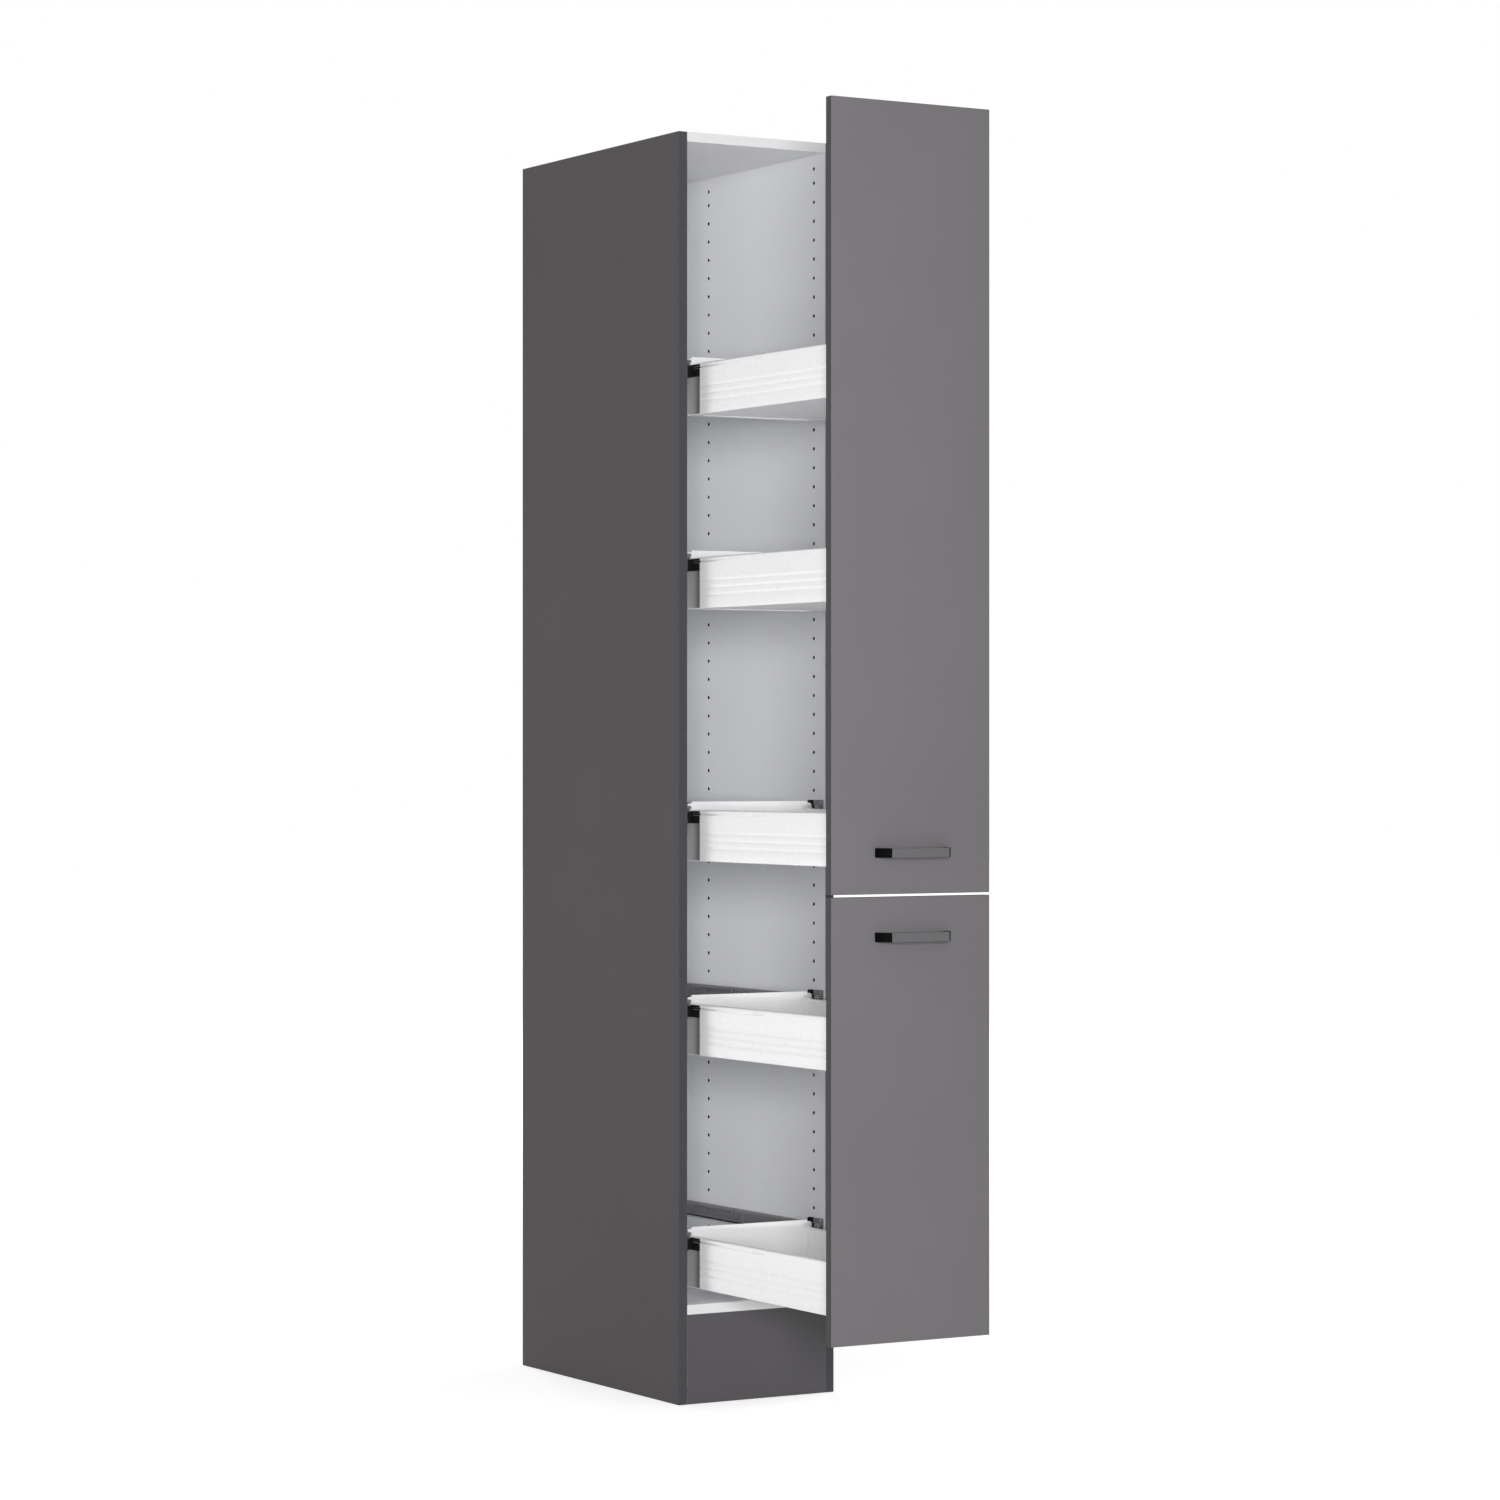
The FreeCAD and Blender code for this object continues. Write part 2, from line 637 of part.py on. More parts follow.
def tray_side(tray, where, side):
    """Hollow steel wall: a round bead, a runner slot, a swaged skin and a flange for the base."""
    name = f"tray_{tray}_side_{where}"
    wall = body(name)
    section = sketch_on(wall, f"{name}_section", "XZ")
    inside = f"({TRAY_OUT} - tray_sheet)"
    flange_edge = f"({TRAY_OUT} - tray_flange)"
    steps = [
        to(TRAY_OUT, LIP_END),
        to(TRAY_OUT, BEAD),
        to(TRAY_IN, BEAD, (STRIP_X, BEAD), 1),
        to(TRAY_IN, FLANGE_TOP),
        to(flange_edge, FLANGE_TOP),
        to(flange_edge, TRAY_BOTTOM),
        to(TRAY_OUT, TRAY_BOTTOM),
    ]
    swages = [f"(tray_rim - swage_top - {number} * swage_spacing)" for number in range(SWAGE_COUNT)]
    for swage in reversed(swages):
        steps += swaged(TRAY_OUT, swage, 1)
    steps.append(to(TRAY_OUT, SKIN_TOP))
    steps.append(to(inside, SKIN_TOP))
    for swage in swages:
        steps += swaged(inside, swage, -1)
    hollow = "(tray_wall / 2 - tray_sheet)"
    corner = f"{hollow} * tan(22.5 deg)"
    steps += [
        to(inside, FLANGE_TOP),
        to(f"{TRAY_IN} + tray_sheet", FLANGE_TOP),
        to(f"{TRAY_IN} + tray_sheet", f"{BEAD} + {corner}"),
        to(f"{STRIP_X} - {corner}", f"{BEAD} + {hollow}"),
        to(f"{STRIP_X} + {corner}", f"{BEAD} + {hollow}"),
        to(inside, f"{BEAD} + {corner}"),
        to(inside, LIP_END),
    ]
    draw(section, [
        to(mirrored(side, across), up, centre and (mirrored(side, centre[0]), centre[1]), side * turn)
        for across, up, centre, turn in steps
    ])
    pad(wall, section, f"{TRAY_LENGTH} - back_sheet", True)
    place(wall, y=FRONT_FACE, z=hanging_line(tray))
    return keep(wall, name)


def tray_back(tray):
    """Raised rear wall with round corners, two side tabs and a lip under the base."""
    name = f"tray_{tray}_back"
    back = body(name)
    rear = "(open_rear - back_sheet)"
    outline = sketch_on(back, f"{name}_outline", "XZ", f"-{rear}")
    top = "(tray_rim + back_rise)"
    corner_x = f"({TRAY_OUT} - back_corner)"
    corner_z = f"({top} - back_corner)"
    draw(outline, [
        to(f"-{TRAY_OUT}", TRAY_BOTTOM),
        to(TRAY_OUT, TRAY_BOTTOM),
        to(TRAY_OUT, corner_z),
        to(corner_x, top, (corner_x, corner_z), 1),
        to(f"-{corner_x}", top),
        to(f"-{TRAY_OUT}", corner_z, (f"-{corner_x}", corner_z), 1),
    ])
    pad(back, outline, "back_sheet", True)
    tabs = sketch_on(back, f"{name}_tabs", "XZ", f"-{rear}")
    base_top = f"({FLANGE_TOP} + tray_base)"
    for side in SIDES.values():
        inner_x = mirrored(side, f"{TRAY_IN} - back_sheet")
        rectangle(tabs, (inner_x, base_top), (mirrored(side, TRAY_IN), BEAD))
    pad(back, tabs, "back_tab")
    lip = sketch_on(back, f"{name}_lip", "XZ", f"-{rear}")
    lip_x = f"({TRAY_OUT} - tray_flange)"
    rectangle(lip, (f"-{lip_x}", TRAY_BOTTOM), (lip_x, FLANGE_TOP))
    pad(back, lip, "back_tab")
    place(back, z=hanging_line(tray))
    return keep(back, name)


def tray_base(tray):
    """Flat sheet on the flanges of the side walls."""
    name = f"tray_{tray}_base"
    corner = (f"-{TRAY_IN}", FRONT_FACE, f"{hanging_line(tray)} + {FLANGE_TOP}")
    length = f"{TRAY_LENGTH} - back_sheet"
    return keep(box(name, f"2 * {TRAY_IN}", length, "tray_base", corner), name)


def bracket_tongues(name, tray, side):
    """Two tongues of one front bracket, which plug into the front."""
    inner = f"({TRAY_IN} + tray_sheet)"
    low_x = inner if side > 0 else f"-{inner} - bracket_width"
    middle = f"{hanging_line(tray)} + tray_rim - (bracket_top + bracket_bottom + tongue_height) / 2"
    return [
        box(
            f"{name}_{number}", "bracket_width", "tongue_length", "tongue_height",
            (low_x, f"{FRONT_FACE} - tongue_length", f"{middle} + {shift} * tongue_spacing / 2"),
        )
        for number, shift in enumerate((-1, 1))
    ]


def front_brackets(tray):
    """Blocks inside the tray walls, plugged into the front."""
    blocks = []
    for where, side in SIDES.items():
        name = f"bracket_{tray}_{where}"
        inner = f"({TRAY_IN} + tray_sheet)"
        low_x = inner if side > 0 else f"-{inner} - bracket_width"
        corner = (low_x, FRONT_FACE, f"{hanging_line(tray)} + tray_rim - bracket_bottom")
        height = "bracket_bottom - bracket_top"
        block = box(f"{name}_block", "bracket_width", "bracket_length", height, corner)
        blocks.append(fuse(name, [block, *bracket_tongues(f"{name}_tongue", tray, side)]))
    return keep(group(f"front_brackets_{tray}", blocks), f"front_brackets_{tray}")


def front(which, bottom, height, handle_z):
    """Front board, mortised for the brackets' tongues and drilled for the handle's screws."""
    corner = (f"-{FRONT_WIDTH} / 2", f"{FRONT_FACE} - front_board", bottom)
    plain = box(f"{which}_front_board", FRONT_WIDTH, "front_board", height, corner)
    tools = []
    for tray in PULL_OUTS[which]:
        for where, side in SIDES.items():
            tools += bracket_tongues(f"socket_{tray}_{where}", tray, side)
    for where, side in SIDES.items():
        name = f"{which}_handle_hole_{where}"
        centre = (mirrored(side, "handle_spacing / 2"), FRONT_FACE, handle_z)
        tools.append(prism(name, "handle_screw", "front_board", centre, (0, -1, 0)))
    return keep(cut(f"{which}_front", plain, tools), f"{which}_front")


def handle(which, handle_z):
    """Flat bar bowed out from the front on two legs: straight at the foot for the screw, then leaning."""
    grip = body(f"{which}_handle_grip")
    outline = sketch_on(grip, f"{which}_handle_outline", "XY", "-handle_height / 2")
    foot_out = "(handle_spacing / 2 + handle_foot / 2)"
    foot_in = "(handle_spacing / 2 - handle_foot / 2)"
    bar_end = f"({foot_out} - handle_lean)"
    bend_out = f"({bar_end} - handle_bend)"
    bar_in = f"({foot_in} - handle_lean)"
    bow_radius = f"(({bend_out}) ^ 2 + handle_bow ^ 2) / (2 * handle_bow)"
    draw(outline, [
        to(foot_out, "0"),
        to(foot_in, "0"),
        to(foot_in, "-handle_socket"),
        to(bar_in, "handle_strip - handle_reach"),
        to(f"-{bar_in}", "handle_strip - handle_reach"),
        to(f"-{foot_in}", "-handle_socket"),
        to(f"-{foot_in}", "0"),
        to(f"-{foot_out}", "0"),
        to(f"-{foot_out}", "-handle_socket"),
        to(f"-{bar_end}", "handle_bend - handle_reach"),
        to(f"-{bend_out}", "-handle_reach", (f"-{bend_out}", "handle_bend - handle_reach"), 1),
        to(bend_out, "-handle_reach", ("0", f"{bow_radius} - handle_reach - handle_bow"), 1),
        to(bar_end, "handle_bend - handle_reach", (bend_out, "handle_bend - handle_reach"), 1),
        to(foot_out, "-handle_socket"),
    ])
    pad(grip, outline, "handle_height")
    place(grip, y=f"{FRONT_FACE} - front_board", z=handle_z)
    forwards = (0, -1, 0)
    tools = []
    screws = []
    for where, side in SIDES.items():
        across = mirrored(side, "handle_spacing / 2")
        foot_face = (across, f"{FRONT_FACE} - front_board", handle_z)
        socket = f"{which}_socket_{where}"
        tools.append(prism(socket, "handle_screw", "handle_socket", foot_face, forwards))
        name = f"{which}_handle_screw_{where}"
        head = (across, f"{FRONT_FACE} + screw_head_height", handle_z)
        shank = (across, FRONT_FACE, handle_z)
        length = "front_board + handle_socket"
        screws.append(fuse(name, [
            prism(f"{name}_head", "screw_head", "screw_head_height", head, forwards),
            prism(f"{name}_shank", "handle_screw", length, shank, forwards),
        ]))
    keep(cut(f"{which}_handle", grip, tools), f"{which}_handle")
    keep(group(f"{which}_handle_screws", screws), f"{which}_handle_screws")


def bumpers(which, bottom, height):
    """Soft discs on the back of a front, opposite the edges of the side boards."""
    levels = {"low": f"{bottom} + bumper_inset", "high": f"{bottom} + {height} - bumper_inset"}
    discs = []
    for where, side in SIDES.items():
        for level, up in levels.items():
            name = f"{which}_bumper_{where}_{level}"
            centre = (mirrored(side, f"{WALL} + board / 2"), FRONT_FACE, up)
            discs.append(prism(name, "bumper_size", "bumper_height", centre, (0, 1, 0)))
    keep(group(f"{which}_bumpers", discs), f"{which}_bumpers")


def runners():
    stops = []
    screws = []
    for which, trays in PULL_OUTS.items():
        glides = []
        for tray in trays:
            rails = [cabinet_rail(tray, where, side) for where, side in SIDES.items()]
            keep(group(f"cabinet_rails_{tray}", rails), f"cabinet_rails_{tray}")
            members = [middle_rail(tray, where, side) for where, side in SIDES.items()]
            keep(group(f"middle_rails_{tray}", members), f"middle_rails_{tray}")
            for where, side in SIDES.items():
                stops.append(rail_stop(tray, where, side))
                glides += middle_glides(tray, where, side)
                screws.append(rail_screw(tray, where, side, "front", "front_row"))
                screws.append(rail_screw(tray, where, side, "rear", REAR_ROW))
        keep(group(f"{which}_glides", glides), f"{which}_glides")
    keep(group("rail_stops", stops), "rail_stops")
    keep(group("rail_screws", screws), "rail_screws")


def pull_out(which, bottom, height, handle_z):
    for tray in PULL_OUTS[which]:
        for where, side in SIDES.items():
            tray_side(tray, where, side)
        tray_back(tray)
        tray_base(tray)
        front_brackets(tray)
    front(which, bottom, height, handle_z)
    handle(which, handle_z)
    bumpers(which, bottom, height)


carcass()
wall_brackets()
plinth_clips()
runners()
pull_out("lower", LOWER_FRONT, "lower_front_height", LOWER_HANDLE)
pull_out("upper", UPPER_FRONT, UPPER_FRONT_HEIGHT, UPPER_HANDLE)
doc.recompute()

failed = [item.Name for item in doc.Objects if {"Invalid", "Error"} & set(item.State)]
if failed:
    raise SystemExit(f"failed objects: {failed}")
for part in sub_parts:
    if part.Shape.isNull() or not part.Shape.isValid() or not part.Shape.Solids:
        raise SystemExit(f"bad shape: {part.Label}")
os.makedirs("parts", exist_ok=True)
for part in sub_parts:
    part.Shape.exportStep(f"parts/{part.Label}.step")
print(len(sub_parts), "sub-parts,", sum(len(part.Shape.Solids) for part in sub_parts), "solids")
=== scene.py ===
# %% [markdown]
# # A tall pull-out larder unit
# The object is a 300 mm wide kitchen cabinet with two pull-outs that carry five shallow metal
# trays. Its measured solids come from a CAD model, and this file dresses them: every board, rail,
# tray and fitting gets its finish, and the pieces whose real shape is softer than their solid are
# modelled anew in the same place. All lengths are metres. X runs across the cabinet, Y from its
# front plane to the back and Z up from the floor.
#
# ## Loading the solids
# The imported model is loaded first and stays where it is. The finished pieces may not grow out
# of it.

# %% Load the imported model
import math

import bmesh
import bpy
from mathutils import Matrix, Vector


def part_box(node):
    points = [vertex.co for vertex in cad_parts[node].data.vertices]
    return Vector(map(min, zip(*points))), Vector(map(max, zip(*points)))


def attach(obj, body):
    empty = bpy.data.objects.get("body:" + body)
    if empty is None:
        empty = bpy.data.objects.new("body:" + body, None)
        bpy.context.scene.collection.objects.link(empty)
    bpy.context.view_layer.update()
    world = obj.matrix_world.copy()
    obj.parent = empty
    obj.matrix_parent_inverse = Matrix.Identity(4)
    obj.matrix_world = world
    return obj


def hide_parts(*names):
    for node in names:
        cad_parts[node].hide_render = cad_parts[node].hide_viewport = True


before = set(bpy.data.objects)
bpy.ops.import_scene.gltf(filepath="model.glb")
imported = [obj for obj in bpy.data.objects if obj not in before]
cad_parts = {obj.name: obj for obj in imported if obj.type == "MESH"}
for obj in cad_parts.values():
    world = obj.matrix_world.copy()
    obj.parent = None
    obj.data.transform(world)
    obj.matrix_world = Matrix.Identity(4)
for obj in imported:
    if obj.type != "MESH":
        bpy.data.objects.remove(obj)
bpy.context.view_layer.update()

MM = 0.001

# %% [markdown]
# ## The camera
# The cabinet is seen from the left, level with the middle of its height and from about seven
# metres, so its upright edges stay parallel. A long lens keeps the perspective weak, and a small
# shift puts the level line where it belongs in the picture.

# %% Camera
VIEW_TURN = math.radians(30.8)
VIEW_DISTANCE = 7.26096
VIEW_SIDESTEP = -0.01161
VIEW_HEIGHT = 1.07664
VIEW_SHIFT = 0.00093
SENSOR = 36
LENS = 104.74

lens = bpy.data.cameras.new("camera")
lens.sensor_width = SENSOR
lens.lens = LENS
lens.shift_y = VIEW_SHIFT
lens.clip_end = 100
camera = bpy.data.objects.new("camera", lens)
ahead = Vector((math.sin(VIEW_TURN), math.cos(VIEW_TURN), 0))
across = Vector((math.cos(VIEW_TURN), -math.sin(VIEW_TURN), 0))
camera.location = VIEW_SIDESTEP * across - VIEW_DISTANCE * ahead + Vector((0, 0, VIEW_HEIGHT))
camera.rotation_euler = (math.radians(90), 0, -VIEW_TURN)
bpy.context.scene.collection.objects.link(camera)
bpy.context.scene.camera = camera
print("camera at", [round(value, 3) for value in camera.location])

# %% [markdown]
# ## The white studio
# A studio is white paper all round, which also fills the shadows. The world stands for it: the
# camera and polished metal see it as full white, and matt surfaces get a gentler level from it. A
# Light Path node tells the two kinds of ray apart, and a Mix Shader chooses between two levels.

# %% World
WORLD_LEVEL = 0.34

scene = bpy.context.scene
scene.view_settings.view_transform = "Standard"
studio = bpy.data.worlds.new("studio")
studio.use_nodes = True
scene.world = studio
tree = studio.node_tree
paper = tree.nodes["Background"]
soft = tree.nodes.new("ShaderNodeBackground")
soft.inputs["Color"].default_value = (1, 1, 1, 1)
soft.inputs["Strength"].default_value = WORLD_LEVEL
paper.inputs["Color"].default_value = (1, 1, 1, 1)
paper.inputs["Strength"].default_value = 1


def seen_directly(tree):
    """1 for rays of the camera and for mirror and glass rays, 0 for the rest."""
    rays = tree.nodes.new("ShaderNodeLightPath")
    seen = rays.outputs["Is Camera Ray"]
    for kind in ("Is Glossy Ray", "Is Transmission Ray"):
        either = tree.nodes.new("ShaderNodeMath")
        either.operation = "MAXIMUM"
        tree.links.new(seen, either.inputs[0])
        tree.links.new(rays.outputs[kind], either.inputs[1])
        seen = either.outputs[0]
    return seen


choice = tree.nodes.new("ShaderNodeMixShader")
tree.links.new(seen_directly(tree), choice.inputs[0])
tree.links.new(soft.outputs[0], choice.inputs[1])
tree.links.new(paper.outputs[0], choice.inputs[2])
tree.links.new(choice.outputs[0], tree.nodes["World Output"].inputs["Surface"])
print("world level on matt surfaces:", WORLD_LEVEL)

# %% [markdown]
# ## Studio lamps
# Four large soft lamps stand in a wide ring. The strongest stands behind the camera and looks
# nearly along the view, so it reaches deep into the open cabinet and hides its own shadows. A
# second one stands to the left and lights the side and the tray walls, and two more keep the right
# side and the back readable. Mirror rays pass the lamps by, so metal shows the white paper and no
# hot squares, and the pressed grooves of the trays stay visible from every side.

# %% Lamps
RING = 9
AIM = Vector((0, 0, 1.05))


def softbox(name, level, degrees, height, size):
    """A square lamp on the ring, turned to the left of the front; level 1 lights a face fully."""
    turn = math.radians(degrees)
    light = bpy.data.lights.new(name, "AREA")
    light.energy = level * math.pi ** 2 * RING ** 2
    light.size = size
    lamp = bpy.data.objects.new(name, light)
    lamp.location = (-math.sin(turn) * RING, -math.cos(turn) * RING, height)
    lamp.rotation_euler = (AIM - lamp.location).to_track_quat("-Z", "Y").to_euler()
    lamp.visible_glossy = False
    scene.collection.objects.link(lamp)
    print(name, round(light.energy), "W")


softbox("key", level=0.84, degrees=28.5, height=1.6, size=2)
softbox("left_side", level=0.1, degrees=121, height=1.3, size=2)
softbox("right_side", level=0.34, degrees=-110, height=2.5, size=3.4)
softbox("rear", level=0.34, degrees=185, height=3.5, size=3.4)

# %% [markdown]
# ## The floor
# A pale floor runs far behind the cabinet. To the camera it glows almost as white as the world
# and still darkens where the cabinet keeps light off it, so a faint shadow grounds the object.
# The glow rises away from the cabinet, where the lamps no longer reach the floor.

# %% Floor
FLOOR_SIZE = 60
NEAR, NEAR_GLOW = 1.5, 0.53
FAR, FAR_GLOW = 9, 0.87

bpy.ops.mesh.primitive_grid_add(x_subdivisions=2, y_subdivisions=2, size=FLOOR_SIZE)
floor = bpy.context.object
floor.name = "studio_floor"
paper_floor = bpy.data.materials.new("paper_floor")
paper_floor.use_nodes = True
tree = paper_floor.node_tree
matt = tree.nodes["Principled BSDF"]
matt.inputs["Base Color"].default_value = (0.87, 0.87, 0.87, 1)
matt.inputs["Roughness"].default_value = 1
matt.inputs["Specular IOR Level"].default_value = 0
glow = tree.nodes.new("ShaderNodeEmission")
spot = tree.nodes.new("ShaderNodeTexCoord")
reach = tree.nodes.new("ShaderNodeVectorMath")
reach.operation = "LENGTH"
tree.links.new(spot.outputs["Object"], reach.inputs[0])
ramp = tree.nodes.new("ShaderNodeMapRange")
ramp.inputs["From Min"].default_value = NEAR
ramp.inputs["From Max"].default_value = FAR
ramp.inputs["To Min"].default_value = NEAR_GLOW
ramp.inputs["To Max"].default_value = FAR_GLOW
tree.links.new(reach.outputs["Value"], ramp.inputs["Value"])
tree.links.new(ramp.outputs[0], glow.inputs["Strength"])
both = tree.nodes.new("ShaderNodeAddShader")
tree.links.new(matt.outputs[0], both.inputs[0])
tree.links.new(glow.outputs[0], both.inputs[1])
choice = tree.nodes.new("ShaderNodeMixShader")
tree.links.new(seen_directly(tree), choice.inputs[0])
tree.links.new(matt.outputs[0], choice.inputs[1])
tree.links.new(both.outputs[0], choice.inputs[2])
tree.links.new(choice.outputs[0], tree.nodes["Material Output"].inputs["Surface"])
floor.data.materials.append(paper_floor)
print("floor", FLOOR_SIZE, "m across")

# %% [markdown]
# ## Building a finish from nodes
# A finish is a node material: one Principled shader, fed by small patterns such as noise. A class
# keeps the recipes short, because each of its methods adds one kind of node and links it. All
# patterns read Object coordinates in metres, so a grain of 0.5 mm stays 0.5 mm on every piece.

# %% Helpers for finishes
class Finish:
    """A node material with its Principled shader and the coordinates that its patterns read."""

    def __init__(self, name, roughness, metallic=0.0, specular=0.5):
        self.material = bpy.data.materials.new(name)
        self.material.use_nodes = True
        self.tree = self.material.node_tree
        self.shader = self.tree.nodes["Principled BSDF"]
        self.shader.inputs["Roughness"].default_value = roughness
        self.shader.inputs["Metallic"].default_value = metallic
        self.shader.inputs["Specular IOR Level"].default_value = specular
        self.place = self.add("ShaderNodeTexCoord").outputs["Object"]

    def add(self, kind, inputs=(), **settings):
        """Adds a node. Each input is a number, a colour or the output of another node."""
        node = self.tree.nodes.new(kind)
        for name, value in settings.items():
            setattr(node, name, value)
        for key, value in dict(inputs).items():
            if isinstance(value, bpy.types.NodeSocket):
                self.tree.links.new(value, node.inputs[key])
            else:
                node.inputs[key].default_value = value
        return node

    def noise(self, scale, detail):
        """A cloudy pattern around 0.5; its grains are about 1 / scale metres wide."""
        inputs = {"Vector": self.place, "Scale": scale, "Detail": detail}
        return self.add("ShaderNodeTexNoise", inputs).outputs["Fac"]

    def where(self):
        """The X, Y and Z of the point that is shaded."""
        return self.add("ShaderNodeSeparateXYZ", {0: self.place}).outputs

    def math(self, operation, first, second=0.0):
        return self.add("ShaderNodeMath", {0: first, 1: second}, operation=operation).outputs[0]

    def above(self, value, limit):
        """1 where the value is above the limit and 0 elsewhere."""
        return self.math("GREATER_THAN", value, limit)

    def spread(self, value, low, high, start=0.3, end=0.7):
        """Maps a pattern's start to end onto low to high."""
        inputs = {"Value": value, "From Min": start, "From Max": end,
                  "To Min": low, "To Max": high}
        return self.add("ShaderNodeMapRange", inputs).outputs[0]

    def mix(self, share, first, second):
        """The first colour where the share is 0 and the second where it is 1."""
        node = self.add("ShaderNodeMix", {"Factor": share}, data_type="RGBA")
        for key, colour in ((6, first), (7, second)):
            if isinstance(colour, bpy.types.NodeSocket):
                self.tree.links.new(colour, node.inputs[key])
            else:
                node.inputs[key].default_value = (*colour, 1)
        return node.outputs[2]

    def wear(self, colour, roughness, height, depth, strength):
        """Feeds the shader its colour, its roughness and a bump of the given depth."""
        inputs = {"Height": height, "Distance": depth, "Strength": strength}
        bump = self.add("ShaderNodeBump", inputs)
        self.tree.links.new(colour, self.shader.inputs["Base Color"])
        self.tree.links.new(roughness, self.shader.inputs["Roughness"])
        self.tree.links.new(bump.outputs[0], self.shader.inputs["Normal"])
        return self.material


def tone(base, share):
    """A colour made darker or paler."""
    return tuple(value * share for value in base)


# %% [markdown]
# ## Faced boards
# Kitchen boards are chipboard pressed with decor paper. The anthracite decor is matt, with a fine
# pearl that catches light. Inside, the boards are light grey. The side boards wear both: the
# finish looks at how far a point is from the cabinet's middle, and gives the inner skin the light
# decor, the outer skin and the front edge the dark one, and all that is cut open raw chipboard.
# The limits lie a hair inside the board's faces, so that each face gets one finish only.

# %% Decor tones and patterns
CARCASS_DECOR = (0.066, 0.060, 0.065)
PLINTH_DECOR = (0.078, 0.074, 0.078)
FRONT_DECOR = (0.140, 0.134, 0.140)
EDGE_BAND = (0.051, 0.050, 0.054)
FRONT_BAND = (0.052, 0.050, 0.053)
LIGHT_DECOR = (0.83, 0.835, 0.855)
# The next two are the light decor again: painted paler on the faces of the top and bottom boards,
# which is painted light, and painted darker on their front edges, which is painted shade.
LIGHT_DECOR_PAINTED_PALER = (0.92, 0.92, 0.935)
BAND_DECOR_PAINTED_DARKER = (0.64, 0.64, 0.645)
CHIP_DARK = (0.30, 0.19, 0.10)
CHIP_PALE = (0.62, 0.47, 0.30)
FIBRE_DARK = (0.30, 0.21, 0.13)
FIBRE_PALE = (0.52, 0.39, 0.26)
MATT = 0.25
DECOR_DEPTH = 0.04 * MM
FIBRE_DEPTH = 0.05 * MM


def pearl(finish, base, contrast=0.06):
    """Fine mottling of a pressed decor around its base tone."""
    grain = finish.noise(1400, 2)
    cloud = finish.noise(5, 3)
    fine = finish.math("MULTIPLY", grain, 0.7)
    broad = finish.math("MULTIPLY", cloud, 0.3)
    share = finish.spread(finish.math("ADD", fine, broad), 0, 1, 0.35, 0.65)
    return finish.mix(share, tone(base, 1 - contrast), tone(base, 1 + contrast)), grain


def chipboard(finish):
    """Pressed wood chips, pale and dark, as a cut edge shows them."""
    chips = finish.add("ShaderNodeTexVoronoi", {"Vector": finish.place, "Scale": 420})
    tint = finish.add("ShaderNodeSeparateColor", {0: chips.outputs["Color"]}).outputs[0]
    return finish.mix(tint, CHIP_DARK, CHIP_PALE)


# %% Finishes of the side boards and the plinth
BOARD_INNER = 134.05 * MM
BOARD_OUTER = 149.95 * MM
SIDE_BAND = 0.4 * MM
CUT_FRONT = 0.5 * MM
CUT_TOP = 2097.5 * MM


def side_board_finish():
    """Anthracite outside, light decor inside, chipboard where the board is cut."""
    finish = Finish("side_board", 0.62, specular=MATT)
    x, y, z = finish.where()
    off_middle = finish.math("ABSOLUTE", x)
    dark, grain = pearl(finish, CARCASS_DECOR)
    band, _ = pearl(finish, EDGE_BAND)
    pale, _ = pearl(finish, LIGHT_DECOR, 0.02)
    colour = finish.mix(finish.above(y, SIDE_BAND), band, dark)
    within = finish.math("MULTIPLY", finish.above(off_middle, BOARD_INNER),
                         finish.above(BOARD_OUTER, off_middle))
    cut = finish.math("MULTIPLY", finish.above(y, CUT_FRONT), finish.above(CUT_TOP, z))
    colour = finish.mix(finish.math("MULTIPLY", within, cut), colour, chipboard(finish))
    colour = finish.mix(finish.above(BOARD_INNER, off_middle), colour, pale)
    return finish.wear(colour, finish.spread(grain, 0.56, 0.68), grain, DECOR_DEPTH, 0.35)


def dark_board_finish(name, base):
    """Anthracite all over."""
    finish = Finish(name, 0.62, specular=MATT)
    colour, grain = pearl(finish, base)
    return finish.wear(colour, finish.spread(grain, 0.56, 0.68), grain, DECOR_DEPTH, 0.35)


side_board = side_board_finish()
plinth_board = dark_board_finish("plinth_board", PLINTH_DECOR)
print(side_board.name, len(side_board.node_tree.nodes), "nodes")

# %% Finishes of the top, bottom and back
LEVEL_BAND = 0.5 * MM
FIBRE_START = 522.1 * MM


def level_board_finish():
    """Light decor painted paler on the faces as painted light, and a darker band on the front edge
    as painted shade.
    """
    finish = Finish("level_board", 0.45, specular=MATT)
    _, y, _ = finish.where()
    pale, grain = pearl(finish, LIGHT_DECOR_PAINTED_PALER, 0.02)
    painted_dark_band, _ = pearl(finish, BAND_DECOR_PAINTED_DARKER, 0.02)
    colour = finish.mix(finish.above(y, LEVEL_BAND), painted_dark_band, pale)
    return finish.wear(colour, finish.spread(grain, 0.4, 0.5), grain, DECOR_DEPTH, 0.3)


def back_board_finish():
    """Light decor inside, pressed fibre towards the wall."""
    finish = Finish("back_board", 0.5, specular=MATT)
    _, y, _ = finish.where()
    pale, grain = pearl(finish, LIGHT_DECOR, 0.02)
    fibre = finish.mix(finish.noise(260, 5), FIBRE_DARK, FIBRE_PALE)
    colour = finish.mix(finish.above(y, FIBRE_START), pale, fibre)
    return finish.wear(colour, finish.spread(grain, 0.45, 0.6), grain, FIBRE_DEPTH, 0.4)


level_board = level_board_finish()
back_board = back_board_finish()
print(level_board.name, "and", back_board.name)

# %% Finish of the fronts
FRONT_BAND_START = -471.5 * MM
FRONT_LINING_START = -456.2 * MM


